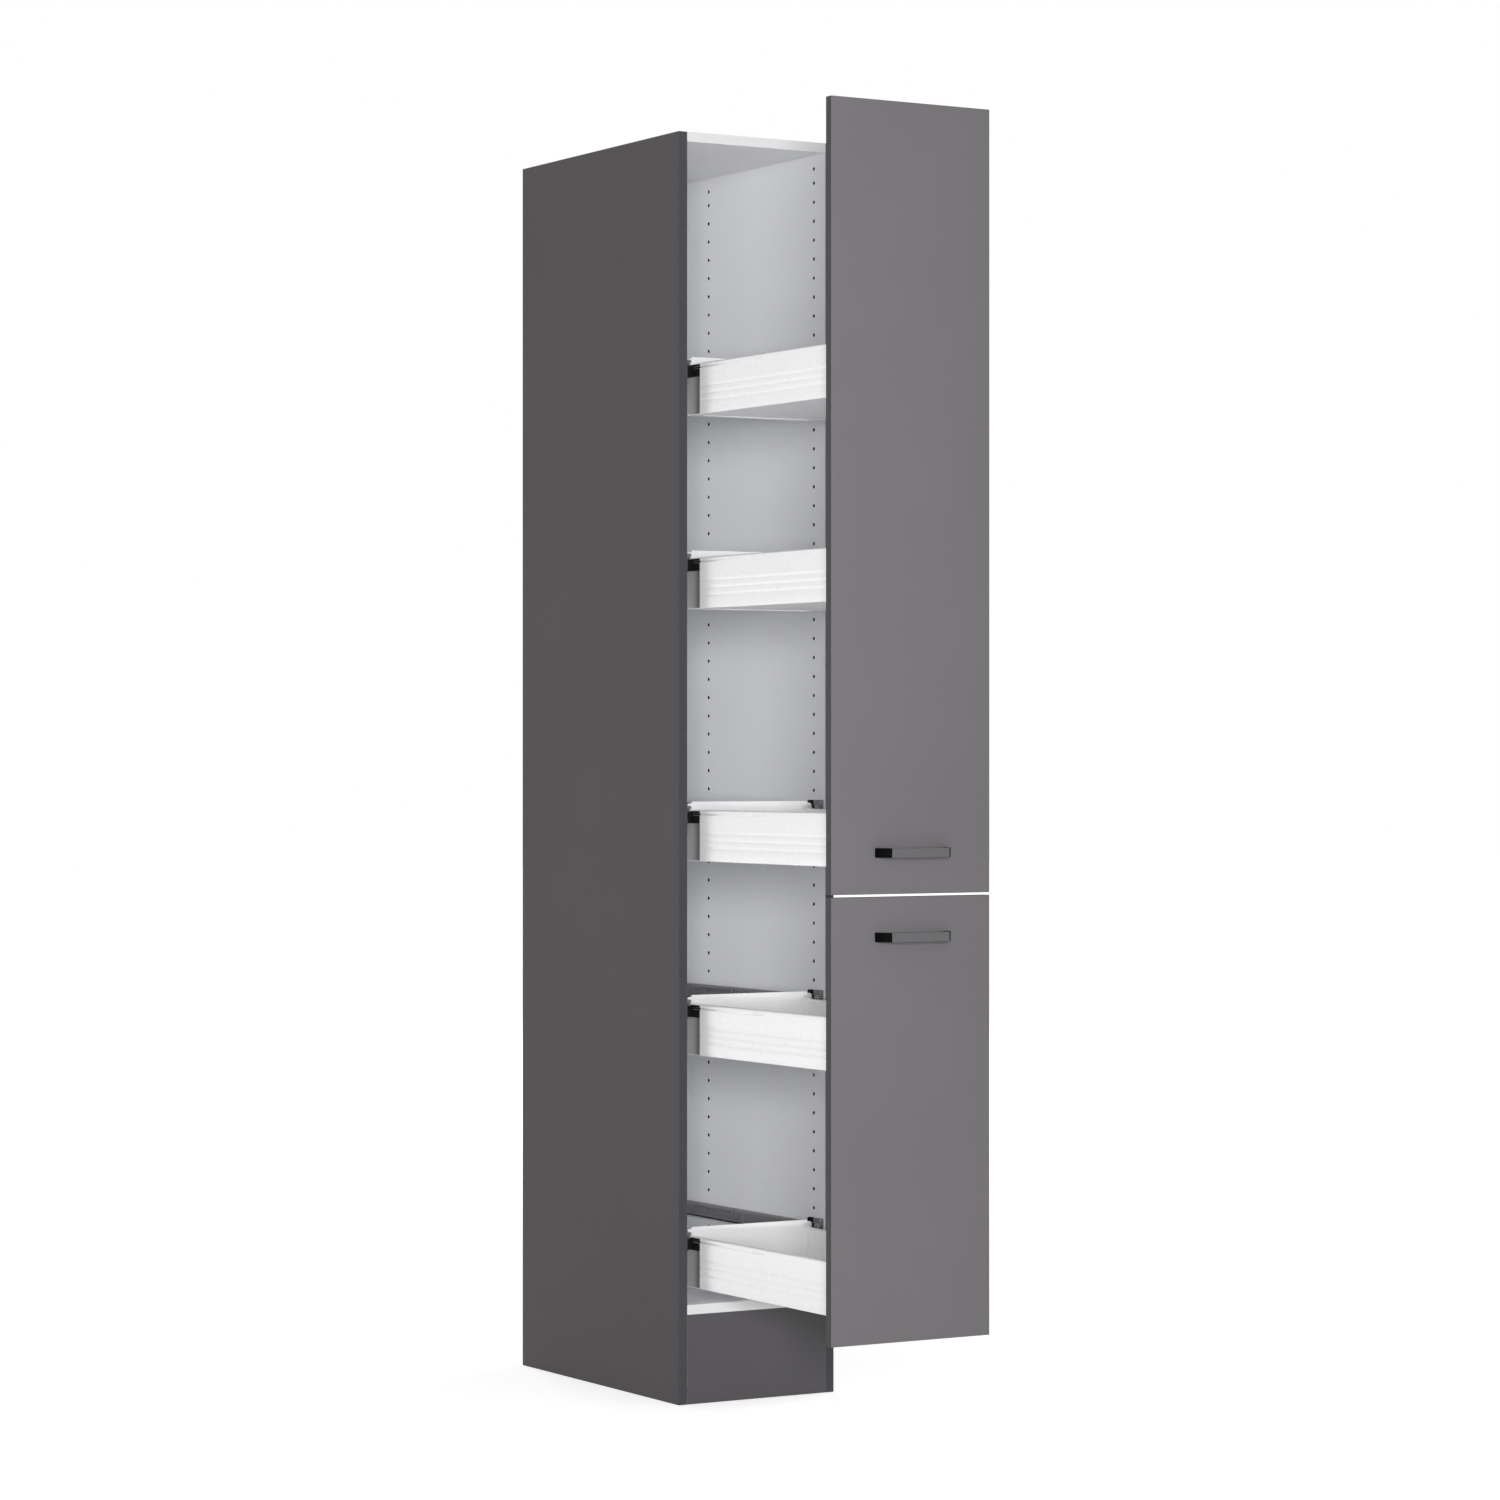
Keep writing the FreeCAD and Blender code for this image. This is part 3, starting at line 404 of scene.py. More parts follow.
def front_board_finish():
    """Anthracite to the room, light decor towards the trays, a dark band round the edges."""
    finish = Finish("front_board", 0.62, specular=MATT)
    _, y, _ = finish.where()
    dark, grain = pearl(finish, FRONT_DECOR)
    band, _ = pearl(finish, FRONT_BAND)
    pale, _ = pearl(finish, LIGHT_DECOR, 0.02)
    colour = finish.mix(finish.above(y, FRONT_BAND_START), dark, band)
    colour = finish.mix(finish.above(y, FRONT_LINING_START), colour, pale)
    return finish.wear(colour, finish.spread(grain, 0.56, 0.68), grain, DECOR_DEPTH, 0.35)


front_board = front_board_finish()
print(front_board.name)

# %% [markdown]
# ## Metal, plastic and rubber
# The trays are sheet steel under a bright silver-white lacquer, partly metallic. Rails are dark
# coated steel, fittings are zinc, glides and stops are plastic. All of them have a fine even grain,
# which is one noise in colour, roughness and bump. Some pieces wear two tones, and their finish
# chooses by place: the middle rails are dark in their channel and bright inside the tray wall, the
# rear plates are dark in front and painted paler towards their rear end as painted shade and
# painted reflection, the front glides are pale and the rear ones grey, and the handles are grey on
# the bar and black from the bends on.

# %% Plain coats
RAIL_TONE = (0.225, 0.225, 0.234)


def coated_finish(name, base, roughness, metallic=0.0, scale=900, contrast=0.1, specular=0.5):
    """A coat with a fine even grain, for sheet metal, screws and plastic."""
    finish = Finish(name, roughness, metallic, specular)
    grain = finish.noise(scale, 3)
    share = finish.spread(grain, 0, 1)
    colour = finish.mix(share, tone(base, 1 - contrast), tone(base, 1 + contrast))
    rough = finish.spread(grain, roughness - 0.05, roughness + 0.05)
    return finish.wear(colour, rough, grain, DECOR_DEPTH, 0.3)


tray_coat = coated_finish("tray_coat", (0.84, 0.84, 0.845), 0.25, 0.32, scale=1200, contrast=0.015)
rail_coat = coated_finish("rail_coat", RAIL_TONE, 0.5)
zinc = coated_finish("zinc", (0.62, 0.62, 0.64), 0.35, 1.0, 300, 0.12)
black_plastic = coated_finish("black_plastic", (0.006, 0.006, 0.007), 0.5, specular=0.1)
# Near black: painted shade for the inside of the drilled holes.
painted_hole_shade = coated_finish("painted_hole_shade", (0.006, 0.005, 0.004), 0.9,
                             scale=500, contrast=0.4, specular=0.0)
nylon = coated_finish("nylon", (0.78, 0.77, 0.74), 0.4, contrast=0.04)
rubber = coated_finish("rubber", (0.6, 0.6, 0.6), 0.6)
screw_metal = coated_finish("screw_metal", (0.66, 0.66, 0.68), 0.3, 1.0, 500, 0.08)
dark_screw = coated_finish("dark_screw", RAIL_TONE, 0.4, 0.5, 500, 0.08)
print(tray_coat.name, len(tray_coat.node_tree.nodes), "nodes")

# %% Coats of two tones
COAT_DEPTH = 0.03 * MM
CHANNEL_FACE = 120.6 * MM
# Between these two depths the rear plates fade from dark to pale: painted shade and painted
# reflection of the side board.
REFLECTION_FADE_START = -14 * MM
REFLECTION_FADE_END = 20 * MM
REAR_GLIDES = 0
HANDLE_BEND = 53.3 * MM


def satin(finish, colour, grain):
    """The common roughness and bump of these coats."""
    return finish.wear(colour, finish.spread(grain, 0.4, 0.5), grain, COAT_DEPTH, 0.3)


def middle_rail_finish():
    """The rails' coat on the channel, bright zinc on the strip inside the tray wall."""
    finish = Finish("middle_rail", 0.45, 0.2)
    x, _, _ = finish.where()
    channel = finish.above(finish.math("ABSOLUTE", x), CHANNEL_FACE)
    grain = finish.noise(700, 3)
    bright = finish.mix(grain, (0.72, 0.72, 0.73), (0.82, 0.82, 0.83))
    return satin(finish, finish.mix(channel, bright, RAIL_TONE), grain)


def painted_shade_plate_finish():
    """Grey on the rear plates, dark in front and paler towards the rear end: painted shade and
    painted reflection of the side board in the wall.
    """
    finish = Finish("shade_and_reflection_plate", 0.45, specular=0.3)
    _, y, _ = finish.where()
    grain = finish.noise(900, 3)
    painted_reflection_share = finish.spread(y, 0, 1, REFLECTION_FADE_START, REFLECTION_FADE_END)
    dark = finish.mix(grain, (0.080, 0.080, 0.083), (0.100, 0.100, 0.103))
    pale = finish.mix(grain, (0.48, 0.48, 0.49), (0.52, 0.52, 0.53))
    return satin(finish, finish.mix(painted_reflection_share, dark, pale), grain)


def glide_finish():
    """Pale nylon on the front glides, grey on the rear ones in the dark channels."""
    finish = Finish("glide", 0.45)
    _, y, _ = finish.where()
    grain = finish.noise(900, 3)
    pale = finish.mix(grain, (0.84, 0.84, 0.84), (0.88, 0.88, 0.88))
    return satin(finish, finish.mix(finish.above(y, REAR_GLIDES), pale, RAIL_TONE), grain)


def handle_finish():
    """Satin grey on the bar, black from the bends on."""
    finish = Finish("handle_coat", 0.45, specular=0.05)
    x, _, _ = finish.where()
    legs = finish.above(finish.math("ABSOLUTE", x), HANDLE_BEND)
    grain = finish.noise(900, 3)
    grey = finish.mix(grain, (0.112, 0.109, 0.113), (0.130, 0.127, 0.131))
    return satin(finish, finish.mix(legs, grey, (0.002, 0.002, 0.0025)), grain)


middle_rail = middle_rail_finish()
shade_and_reflection_plate = painted_shade_plate_finish()
glide = glide_finish()
handle_coat = handle_finish()
print(handle_coat.name, len(handle_coat.node_tree.nodes), "nodes")

# %% [markdown]
# ## Dressing the solids
# The table names the start of each CAD node's name and the finish that goes with it. The longest
# match wins, so the handle's screws don't end up with the handle's coat. A solid whose shape is
# right stays in view, and only its material changes.

# %% Give every CAD node its finish
FINISHES = {
    "side_panel": side_board,
    "top_panel": level_board,
    "bottom_panel": level_board,
    "back_panel": back_board,
    "plinth_panel": plinth_board,
    "cam_discs": zinc,
    "cam_bolts": screw_metal,
    "wall_bracket_screws": screw_metal,
    "wall_brackets": zinc,
    "plinth_clips": nylon,
    "rail_stops": black_plastic,
    "rail_screws": dark_screw,
    "cabinet_rails": rail_coat,
    "middle_rails": middle_rail,
    "lower_glides": glide,
    "upper_glides": glide,
    "tray": tray_coat,
    "front_brackets": zinc,
    "lower_front": front_board,
    "upper_front": front_board,
    "lower_handle_screws": screw_metal,
    "upper_handle_screws": screw_metal,
    "lower_handle": handle_coat,
    "upper_handle": handle_coat,
    "lower_bumpers": rubber,
    "upper_bumpers": rubber,
}


def dress(thing, finish):
    thing.data.materials.clear()
    thing.data.materials.append(finish)


for name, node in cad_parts.items():
    match = max((start for start in FINISHES if name.startswith(start)), key=len)
    dress(node, FINISHES[match])
print(len(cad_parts), "nodes dressed")

# %% [markdown]
# ## Tools for new pieces
# A new piece takes the place of a plain solid, so it starts from that solid's own box and only
# adds what the solid leaves out: rolled edges, bend radii, round holes. Every mesh is made at its
# final place by bmesh operators. The helper called piece then makes an object of it, shades it
# smooth except over real edges, hangs it on its body and hides the solid it stands for. The other
# helpers round edges, make blocks, and join and mirror shapes.

# %% Helpers for new pieces
SHARP_FROM = math.radians(32)


def corners(node):
    """The lowest and highest corner of a CAD node."""
    return [Vector(corner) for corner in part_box(node)]


def piece(name, shape, finish, body, slot, *nodes):
    """Makes a scene object of a bmesh and lets it stand for the CAD nodes."""
    mesh = bpy.data.meshes.new(name)
    shape.to_mesh(mesh)
    shape.free()
    mesh.shade_smooth()
    mesh.set_sharp_from_angle(angle=SHARP_FROM)
    thing = bpy.data.objects.new(name, mesh)
    scene.collection.objects.link(thing)
    dress(thing, finish)
    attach(thing, body)
    if nodes:
        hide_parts(*nodes)
    print(name, len(mesh.polygons), "faces")
    return thing


def soften(shape, radius, segments, chosen=lambda edge: True):
    """Rounds the chosen edges, or all of them."""
    edges = [edge for edge in shape.edges if chosen(edge)]
    bmesh.ops.bevel(shape, geom=edges, offset=radius, offset_type="OFFSET", segments=segments,
                    profile=0.5, affect="EDGES", clamp_overlap=True, material=-1)


def block(low, high):
    """A box between two corners."""
    shape = bmesh.new()
    bmesh.ops.create_cube(shape, size=1)
    low, high = Vector(low), Vector(high)
    bmesh.ops.scale(shape, vec=high - low, verts=shape.verts)
    bmesh.ops.translate(shape, vec=(low + high) / 2, verts=shape.verts)
    return shape


def gather(shapes):
    """Joins several shapes in one and frees them."""
    whole = bmesh.new()
    for part in shapes:
        mesh = bpy.data.meshes.new("part")
        part.to_mesh(mesh)
        part.free()
        whole.from_mesh(mesh)
        bpy.data.meshes.remove(mesh)
    return whole


def to_left(shape):
    """Mirrors a shape of the right side to the left side."""
    bmesh.ops.scale(shape, vec=(-1, 1, 1), verts=shape.verts)
    bmesh.ops.reverse_faces(shape, faces=shape.faces)
    return shape


def both_sides(shape):
    """A shape of the right side and its mirror image on the left side."""
    return gather([shape.copy(), to_left(shape)])


print("corners, piece, soften, block, gather, to_left and both_sides are ready")

# %% [markdown]
# ## The fronts
# Each front is a plain board. On the real one a plastic band closes the cut edges, and its corner
# is broken by hand or machine to about a millimetre. The board is a box whose edges are bevelled
# with three segments, so that they catch a thin line of light. A Bevel modifier could do the same,
# but the operator leaves a finished mesh at once.

# %% Fronts
EDGE_BREAK = 0.8 * MM

for which in ("lower", "upper"):
    board = block(*corners(f"{which}_front"))
    soften(board, EDGE_BREAK, 3)
    piece(f"{which}_front_board", board, front_board,
          f"{which}_pullout", "front_board", f"{which}_front")

# %% [markdown]
# ## Tray walls
# A tray wall is folded from two sheets: an outer skin with three pressed grooves and a flange
# below, and an inner skin whose top is rolled over into a round rim. The slot for the runner stays
# open between them, and in front, where the runner doesn't reach, a lap of the rim closes it. A
# sheet starts as a few corners of its cross-section. Those are extruded along the tray, the folds
# are bevelled round, and solidify gives the sheet its thickness. That is how the real sheet is
# rolled, and it needs no list of points for the round parts.

# %% Folding a sheet
SHEET = 1.0 * MM
MERGE = 0.01 * MM


def skin(profile, start, end):
    """A sheet without thickness: corners (x, z) of a cross-section, drawn along Y."""
    shape = bmesh.new()
    spots = [shape.verts.new((x, start, z)) for x, z in profile]
    edges = [shape.edges.new(pair) for pair in zip(spots, spots[1:])]
    drawn = bmesh.ops.extrude_edge_only(shape, edges=edges)
    far = [part for part in drawn["geom"] if isinstance(part, bmesh.types.BMVert)]
    bmesh.ops.translate(shape, vec=(0, end - start, 0), verts=far)
    return shape


def fold(edge):
    """True where the sheet is bent."""
    return len(edge.link_faces) == 2 and edge.calc_face_angle() > math.radians(3)


# %% Tray walls
WALL_DEPTH = 8 * MM
RIM_ROUND = 3.95 * MM
RIM_EDGE = 6 * MM
SLOT_EDGE = 9.2 * MM
GROOVES = (39 * MM, 51 * MM, 63 * MM)
GROOVE_WIDTH = 7 * MM
GROOVE_DEPTH = 0.7 * MM
GROOVE_FLOOR = 1.2 * MM
GROOVE_ROUND = 1.6 * MM
FLANGE_ROUND = 1.2 * MM
LAP = 234 * MM
TRAY_BODY = {1: "lower_pullout", 2: "lower_pullout",
             3: "upper_pullout", 4: "upper_pullout", 5: "upper_pullout"}


def tray_wall(low, high):
    """Both skins and the lap of a right-hand wall, in the box of its solid."""
    rim, start, end = high.z, low.y, high.y
    outer, inner = high.x, high.x - WALL_DEPTH
    outside = [(outer, rim - SLOT_EDGE)]
    for drop in GROOVES:
        for depth, reach in ((0, GROOVE_WIDTH / 2), (GROOVE_DEPTH, GROOVE_FLOOR / 2),
                             (GROOVE_DEPTH, -GROOVE_FLOOR / 2), (0, -GROOVE_WIDTH / 2)):
            outside.append((outer - depth, rim - drop + reach))
    outside += [(outer, low.z), (low.x, low.z)]
    outer_skin = skin(outside, start, end)
    base = low.z + MM
    soften(outer_skin, GROOVE_ROUND, 3, lambda edge: fold(edge) and edge.verts[0].co.z > base)
    soften(outer_skin, FLANGE_ROUND, 3, lambda edge: fold(edge) and edge.verts[0].co.z < base)
    inside = [(inner, low.z + SHEET), (inner, rim), (outer, rim), (outer, rim - RIM_EDGE)]
    inner_skin = skin(inside, start, end)
    soften(inner_skin, RIM_ROUND, 8, fold)
    lap = skin([(outer, rim - RIM_EDGE), (outer, rim - SLOT_EDGE)], start, start + LAP)
    for sheet, thickness in ((outer_skin, SHEET), (inner_skin, SHEET), (lap, -SHEET)):
        bmesh.ops.remove_doubles(sheet, verts=sheet.verts, dist=MERGE)
        bmesh.ops.recalc_face_normals(sheet, faces=sheet.faces)
        bmesh.ops.solidify(sheet, geom=sheet.faces[:], thickness=thickness)
        bmesh.ops.recalc_face_normals(sheet, faces=sheet.faces)
    return gather([outer_skin, inner_skin, lap])


for tray, body in TRAY_BODY.items():
    wall = tray_wall(*corners(f"tray_{tray}_side_right"))
    for side, shape in (("right", wall.copy()), ("left", to_left(wall))):
        piece(f"tray_{tray}_wall_{side}", shape, tray_coat,
              body, "tray_steel", f"tray_{tray}_side_{side}")

# %% [markdown]
# ## Handles
# A handle is a flat bar that bows slightly away from the front, on two cast legs. Each leg stands
# straight where the screw enters it and then leans inwards to the bar. Seen from above this is one
# closed line, so half of it is drawn: the two long faces of the bar are a point spun by a few
# degrees round a far centre. The line is mirrored, filled, and raised to a solid whose edges are
# rounded. A bevelled curve would give the bar, but not the square legs.

# %% Handles
BAR = 5 * MM
BAR_SETBACK = 0.1 * MM
BOW_RISE = 1.3 * MM
LEG_LEAN = 12 * MM
LEG_FOOT = 8 * MM
LEG_SOCKET = 9 * MM
BAR_CHAMFER = 1.6 * MM
HANDLE_ROUND = 0.7 * MM


def joined(shape, start, *places):
    """Draws edges from a vertex through the given places and returns the last vertex."""
    for place in places:
        follower = shape.verts.new(place)
        shape.edges.new((start, follower))
        start = follower
    return start


def bow(shape, face, centre, half):
    """One long face of half the bar: a point spun round the bow's centre."""
    point = shape.verts.new((0, face, 0))
    turn = math.asin(half / (centre - face))
    swept = bmesh.ops.spin(shape, geom=[point], cent=(0, centre, 0), axis=(0, 0, 1),
                           angle=turn, steps=8)
    return next(part for part in swept["geom_last"] if isinstance(part, bmesh.types.BMVert))


def handle_shape(low, high):
    """A whole handle in the box of its solid."""
    front, foot = low.y + BAR_SETBACK, high.y
    foot_out, foot_in = high.x, high.x - LEG_FOOT
    bar_end = foot_out - LEG_LEAN
    flat_end = bar_end - BAR_CHAMFER
    centre = front + (flat_end ** 2 + BOW_RISE ** 2) / (2 * BOW_RISE)
    shape = bmesh.new()
    outer = bow(shape, front, centre, flat_end)
    inner = bow(shape, front + BAR, centre, bar_end - LEG_FOOT)
    last = joined(shape, outer, (bar_end, outer.co.y + BAR_CHAMFER, 0),
                  (foot_out, foot - LEG_SOCKET, 0), (foot_out, foot, 0),
                  (foot_in, foot, 0), (foot_in, foot - LEG_SOCKET, 0))
    shape.edges.new((last, inner))
    bmesh.ops.mirror(shape, geom=shape.verts[:] + shape.edges[:], axis="X", merge_dist=MERGE)
    bmesh.ops.remove_doubles(shape, verts=shape.verts, dist=MERGE)
    bmesh.ops.contextual_create(shape, geom=shape.edges[:])
    bmesh.ops.solidify(shape, geom=shape.faces[:], thickness=high.z - low.z)
    lowest = min(vert.co.z for vert in shape.verts)
    bmesh.ops.translate(shape, vec=(0, 0, low.z - lowest), verts=shape.verts)
    bmesh.ops.recalc_face_normals(shape, faces=shape.faces)
    soften(shape, HANDLE_ROUND, 2, lambda edge: edge.calc_face_angle() > math.radians(80))
    return shape


for which in ("lower", "upper"):
    piece(f"{which}_bow_handle", handle_shape(*corners(f"{which}_handle")), handle_coat,
          f"{which}_pullout", "handle_metal", f"{which}_handle")

# %% [markdown]
# ## Cabinet rails
# A rail is a channel of dark steel that lies against the side board and holds the middle rail
# between its lips. Its web has round punched holes and a raised ear at the front. The web is a
# flat outline with circles in it: triangle_fill closes the metal around them and leaves the holes
# open. Boolean cuts would do it too, but leave untidy faces. The two lipped flanges are folded
# like the tray walls. The places of holes along a rail are listed in millimetres.

# %% Rail web
BOARD_FACE = 134 * MM
RAIL_SHEET = 1.2 * MM
WEB_FACE = BOARD_FACE - RAIL_SHEET


def plate(outline, rounded, holes, face, thickness):
    """An upright sheet at X = face: an outline (y, z) with round holes (y, z, radius)."""
    shape = bmesh.new()
    spots = [shape.verts.new((face, y, z)) for y, z in outline]
    shape.faces.new(spots)
    for number, radius in rounded.items():
        bmesh.ops.bevel(shape, geom=[spots[number]], offset=radius, segments=6, profile=0.5,
                        affect="VERTICES", material=-1)
    bmesh.ops.delete(shape, geom=shape.faces[:], context="FACES_ONLY")
    for y, z, radius in holes:
        lay = Matrix.Translation((face, y, z)) @ Matrix.Rotation(math.radians(90), 4, "Y")
        bmesh.ops.create_circle(shape, cap_ends=False, segments=16, radius=radius, matrix=lay)
    bmesh.ops.triangle_fill(shape, use_beauty=True, use_dissolve=False, edges=shape.edges[:])
    bmesh.ops.solidify(shape, geom=shape.faces[:], thickness=thickness)
    nearest = min(vert.co.x for vert in shape.verts)
    bmesh.ops.translate(shape, vec=(face - nearest, 0, 0), verts=shape.verts)
    bmesh.ops.recalc_face_normals(shape, faces=shape.faces)
    return shape


# %% Cabinet rails
RAIL_DEPTH = 11.5 * MM
LIP_FACE = BOARD_FACE - RAIL_DEPTH
RAIL_LIP = 5 * MM
RAIL_FOLD = 1.8 * MM
RAIL_MIDDLE = 16 * MM
EAR_RISE = 8 * MM
EAR_LENGTH = 46 * MM
EAR_CORNER = 7 * MM
EAR_HOLE = (15 * MM, 12 * MM, 2.2 * MM)
SYSTEM_ROWS = (37, 389)
PUNCHED = (37, 251, 261, 284, 294, 309, 389, 444, 455)
SCREW_HOLE = 2.6 * MM
PLAIN_HOLE = 2.4 * MM


def flange(edge_z, inwards_z, start, end):
    """One lipped flange: from the web out to the lip and back."""
    lip = (LIP_FACE, edge_z + RAIL_LIP * inwards_z)
    sheet = skin([(WEB_FACE, edge_z), (LIP_FACE, edge_z), lip], start, end)
    soften(sheet, RAIL_FOLD, 4, fold)
    bmesh.ops.solidify(sheet, geom=sheet.faces[:], thickness=-inwards_z * RAIL_SHEET)
    bmesh.ops.recalc_face_normals(sheet, faces=sheet.faces)
    return sheet


def rail_shape(low, high):
    """A right-hand rail in the box of its solid."""
    start, end = low.y, high.y
    top = high.z - EAR_RISE
    level = low.z + RAIL_MIDDLE
    ear_end = start + EAR_LENGTH
    outline = [(start, low.z), (end, low.z), (end, top),
               (ear_end, top), (ear_end, high.z), (start, high.z)]
    holes = [(y * MM, level, SCREW_HOLE if y in SYSTEM_ROWS else PLAIN_HOLE) for y in PUNCHED]
    ear_y, ear_rise, ear_radius = EAR_HOLE
    holes.append((ear_y, level + ear_rise, ear_radius))
    web = plate(outline, {4: EAR_CORNER}, holes, WEB_FACE, RAIL_SHEET)
    return gather([web, flange(top, -1, start, end), flange(low.z, 1, start, end)])


for tray in TRAY_BODY:
    rails = both_sides(rail_shape(*corners(f"cabinet_rails_{tray}")))
    piece(f"cabinet_rail_pair_{tray}", rails, rail_coat,
          "carcass", "rail_steel", f"cabinet_rails_{tray}")

# %% [markdown]
# ## Rail stops
# A black moulded nose closes each rail in front and keeps the tray from slamming against it. It is
# a block with a short tongue under the rail, and every edge has the small round that a mould
# leaves. A black block fills the rear corner of the ear and a small black block sits on the upper
# lip below it: both are painted shadow around the tray back's rounded corner. A thin black strip
# along the lower lip is the painted shadow under the rail.
# All of them are measured from their tray's level, the height of its rail screws.

# %% Rail stops
STOP_ROUND = 0.7 * MM
STRIP_RISE = 0.3 * MM
LEVELS = {tray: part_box(f"tray_{tray}_side_right")[1][2] - 1.5 * MM for tray in TRAY_BODY}


def stop_shape(level):
    """The nose with its tongue, and two black blocks of painted shadow at the ear, of a right-hand
    rail.
    """
    nose = block((LIP_FACE, 1 * MM, level - 20 * MM), (BOARD_FACE, 6 * MM, level - 2 * MM))
    tongue = block((LIP_FACE, 5.5 * MM, level - 20 * MM), (BOARD_FACE, 30 * MM, level - 16 * MM))
    lower_end = [vert for vert in tongue.verts
                 if vert.co.y > 20 * MM and vert.co.z < level - 18 * MM]
    bmesh.ops.translate(tongue, vec=(0, -4 * MM, 0), verts=lower_end)
    for part in (nose, tongue):
        soften(part, STOP_ROUND, 3)
    # Two black blocks at the ear: painted shadow around the tray back's rounded corner.
    ear_shadow_block = block((WEB_FACE - 3 * MM, 37 * MM, level + 8.3 * MM),
                   (WEB_FACE, 52 * MM, level + 16 * MM))
    soften(ear_shadow_block, EAR_CORNER - MM, 6, lambda edge: all(
        vert.co.y > 51 * MM and vert.co.z > level + 15 * MM for vert in edge.verts))
    lip_shadow_block = block((LIP_FACE - STRIP_RISE, 17 * MM, level + 2.5 * MM),
                  (LIP_FACE + 1.5 * MM, 24 * MM, level + 8.2 * MM))
    soften(lip_shadow_block, 0.2 * MM, 2)
    return gather([nose, tongue, ear_shadow_block, lip_shadow_block])


def shadow_strip_shape(level):
    """The black strip of painted shadow on the lower lip of a right-hand rail."""
    strip = block((LIP_FACE - STRIP_RISE, 30 * MM, level - 15.8 * MM),
                  (LIP_FACE + 0.1 * MM, 496 * MM, level - 13.4 * MM))
    soften(strip, 0.1 * MM, 2)
    return strip


stops = gather([both_sides(stop_shape(level)) for level in LEVELS.values()])
piece("rail_noses", stops, black_plastic, "carcass", "black_plastic", "rail_stops")
shadow_strips = gather([both_sides(shadow_strip_shape(level)) for level in LEVELS.values()])
piece("rail_shadow_strips", shadow_strips, black_plastic, "carcass", "black_plastic")

# %% [markdown]
# ## Tray backs
# The back of a tray stands higher than its walls and ends in a lower, rounded shoulder over each
# of them. It is one sheet with two tabs beside the walls and a lip under the base. The outline is
# drawn for one half and mirrored, its corners are bevelled as vertices, and the broken edges of
# the sheet catch the light.

# %% Tray backs
BACK_SHEET = 1.5 * MM
BACK_EDGE = 0.35 * MM
BACK_CORNER = 5 * MM
SHOULDER = 8.5 * MM
SHOULDER_DROP = 3 * MM
SHOULDER_CORNER = 1 * MM
TAB_FACE = 113 * MM
TAB_REACH = 18 * MM
TAB_CORNER = 3 * MM
TAB_SHEET = 0.5 * MM
BASE_LIP = 103 * MM


def back_shape(low, high):
    """Outline in the XZ plane, made thick towards the front."""
    shape = bmesh.new()
    step = high.z - SHOULDER_DROP
    half = [(high.x, low.z), (high.x, step),
            (high.x - SHOULDER, step), (high.x - SHOULDER, high.z)]
    outline = half + [(-x, z) for x, z in reversed(half)]
    spots = [shape.verts.new((x, high.y, z)) for x, z in outline]
    shape.faces.new(spots)
    for numbers, radius in (((1, 6), BACK_CORNER), ((3, 4), SHOULDER_CORNER)):
        bmesh.ops.bevel(shape, geom=[spots[number] for number in numbers], offset=radius,
                        segments=6, profile=0.5, affect="VERTICES", material=-1)
    bmesh.ops.solidify(shape, geom=shape.faces[:], thickness=BACK_SHEET)
    rear = max(vert.co.y for vert in shape.verts)
    bmesh.ops.translate(shape, vec=(0, high.y - rear, 0), verts=shape.verts)
    bmesh.ops.recalc_face_normals(shape, faces=shape.faces)
    soften(shape, BACK_EDGE, 2, lambda edge: edge.calc_face_angle() > math.radians(60))
    return shape


def tab_shape(level, front, rear):
    """A tab of the back beside the inner skin of the right wall."""
    tab = block((TAB_FACE - TAB_SHEET, front, level - 80.5 * MM),
                (TAB_FACE, rear, level - 2.5 * MM))
    soften(tab, TAB_CORNER, 4, lambda edge: all(vert.co.y < front + MM for vert in edge.verts)
           and abs(edge.verts[0].co.x - edge.verts[1].co.x) > MM)
    return tab


for tray, body in TRAY_BODY.items():
    low, high = corners(f"tray_{tray}_back")
    rear = high.y - BACK_SHEET
    tabs = both_sides(tab_shape(LEVELS[tray], rear - TAB_REACH, rear))
    lip = block((-BASE_LIP, rear - TAB_REACH, low.z), (BASE_LIP, rear, low.z + SHEET))
    shape = gather([back_shape(low, high), tabs, lip])
    piece(f"tray_{tray}_rear_wall", shape, tray_coat, body, "tray_steel", f"tray_{tray}_back")

# %% [markdown]
# ## Rear plates of the tray walls
# At its rear end a tray wall carries a grey plate on its outer skin, with a black pad above it that
# runs past the rail and a second one on the rim. They stand where the wall shows shade and mirrors
# the side board and the rail's black nose: the plate's tone, dark in front and pale to the rear, is
# painted shade and painted reflection of the side board, and the black pads are painted shadow and
# painted reflection of the nose. All are thin sheets with broken edges, so a block of their size
# whose edges are bevelled is all they need.

# %% Rear plates
PLATE_START = -19 * MM
PLATE_SHEET = 0.4 * MM
PAD_SHEET = 0.7 * MM
PLATE_EDGE = 0.15 * MM
WALL_FACE = 121 * MM


def trays_of(body):
    """The trays that ride on one pull-out."""
    return [tray for tray, carrier in TRAY_BODY.items() if carrier == body]


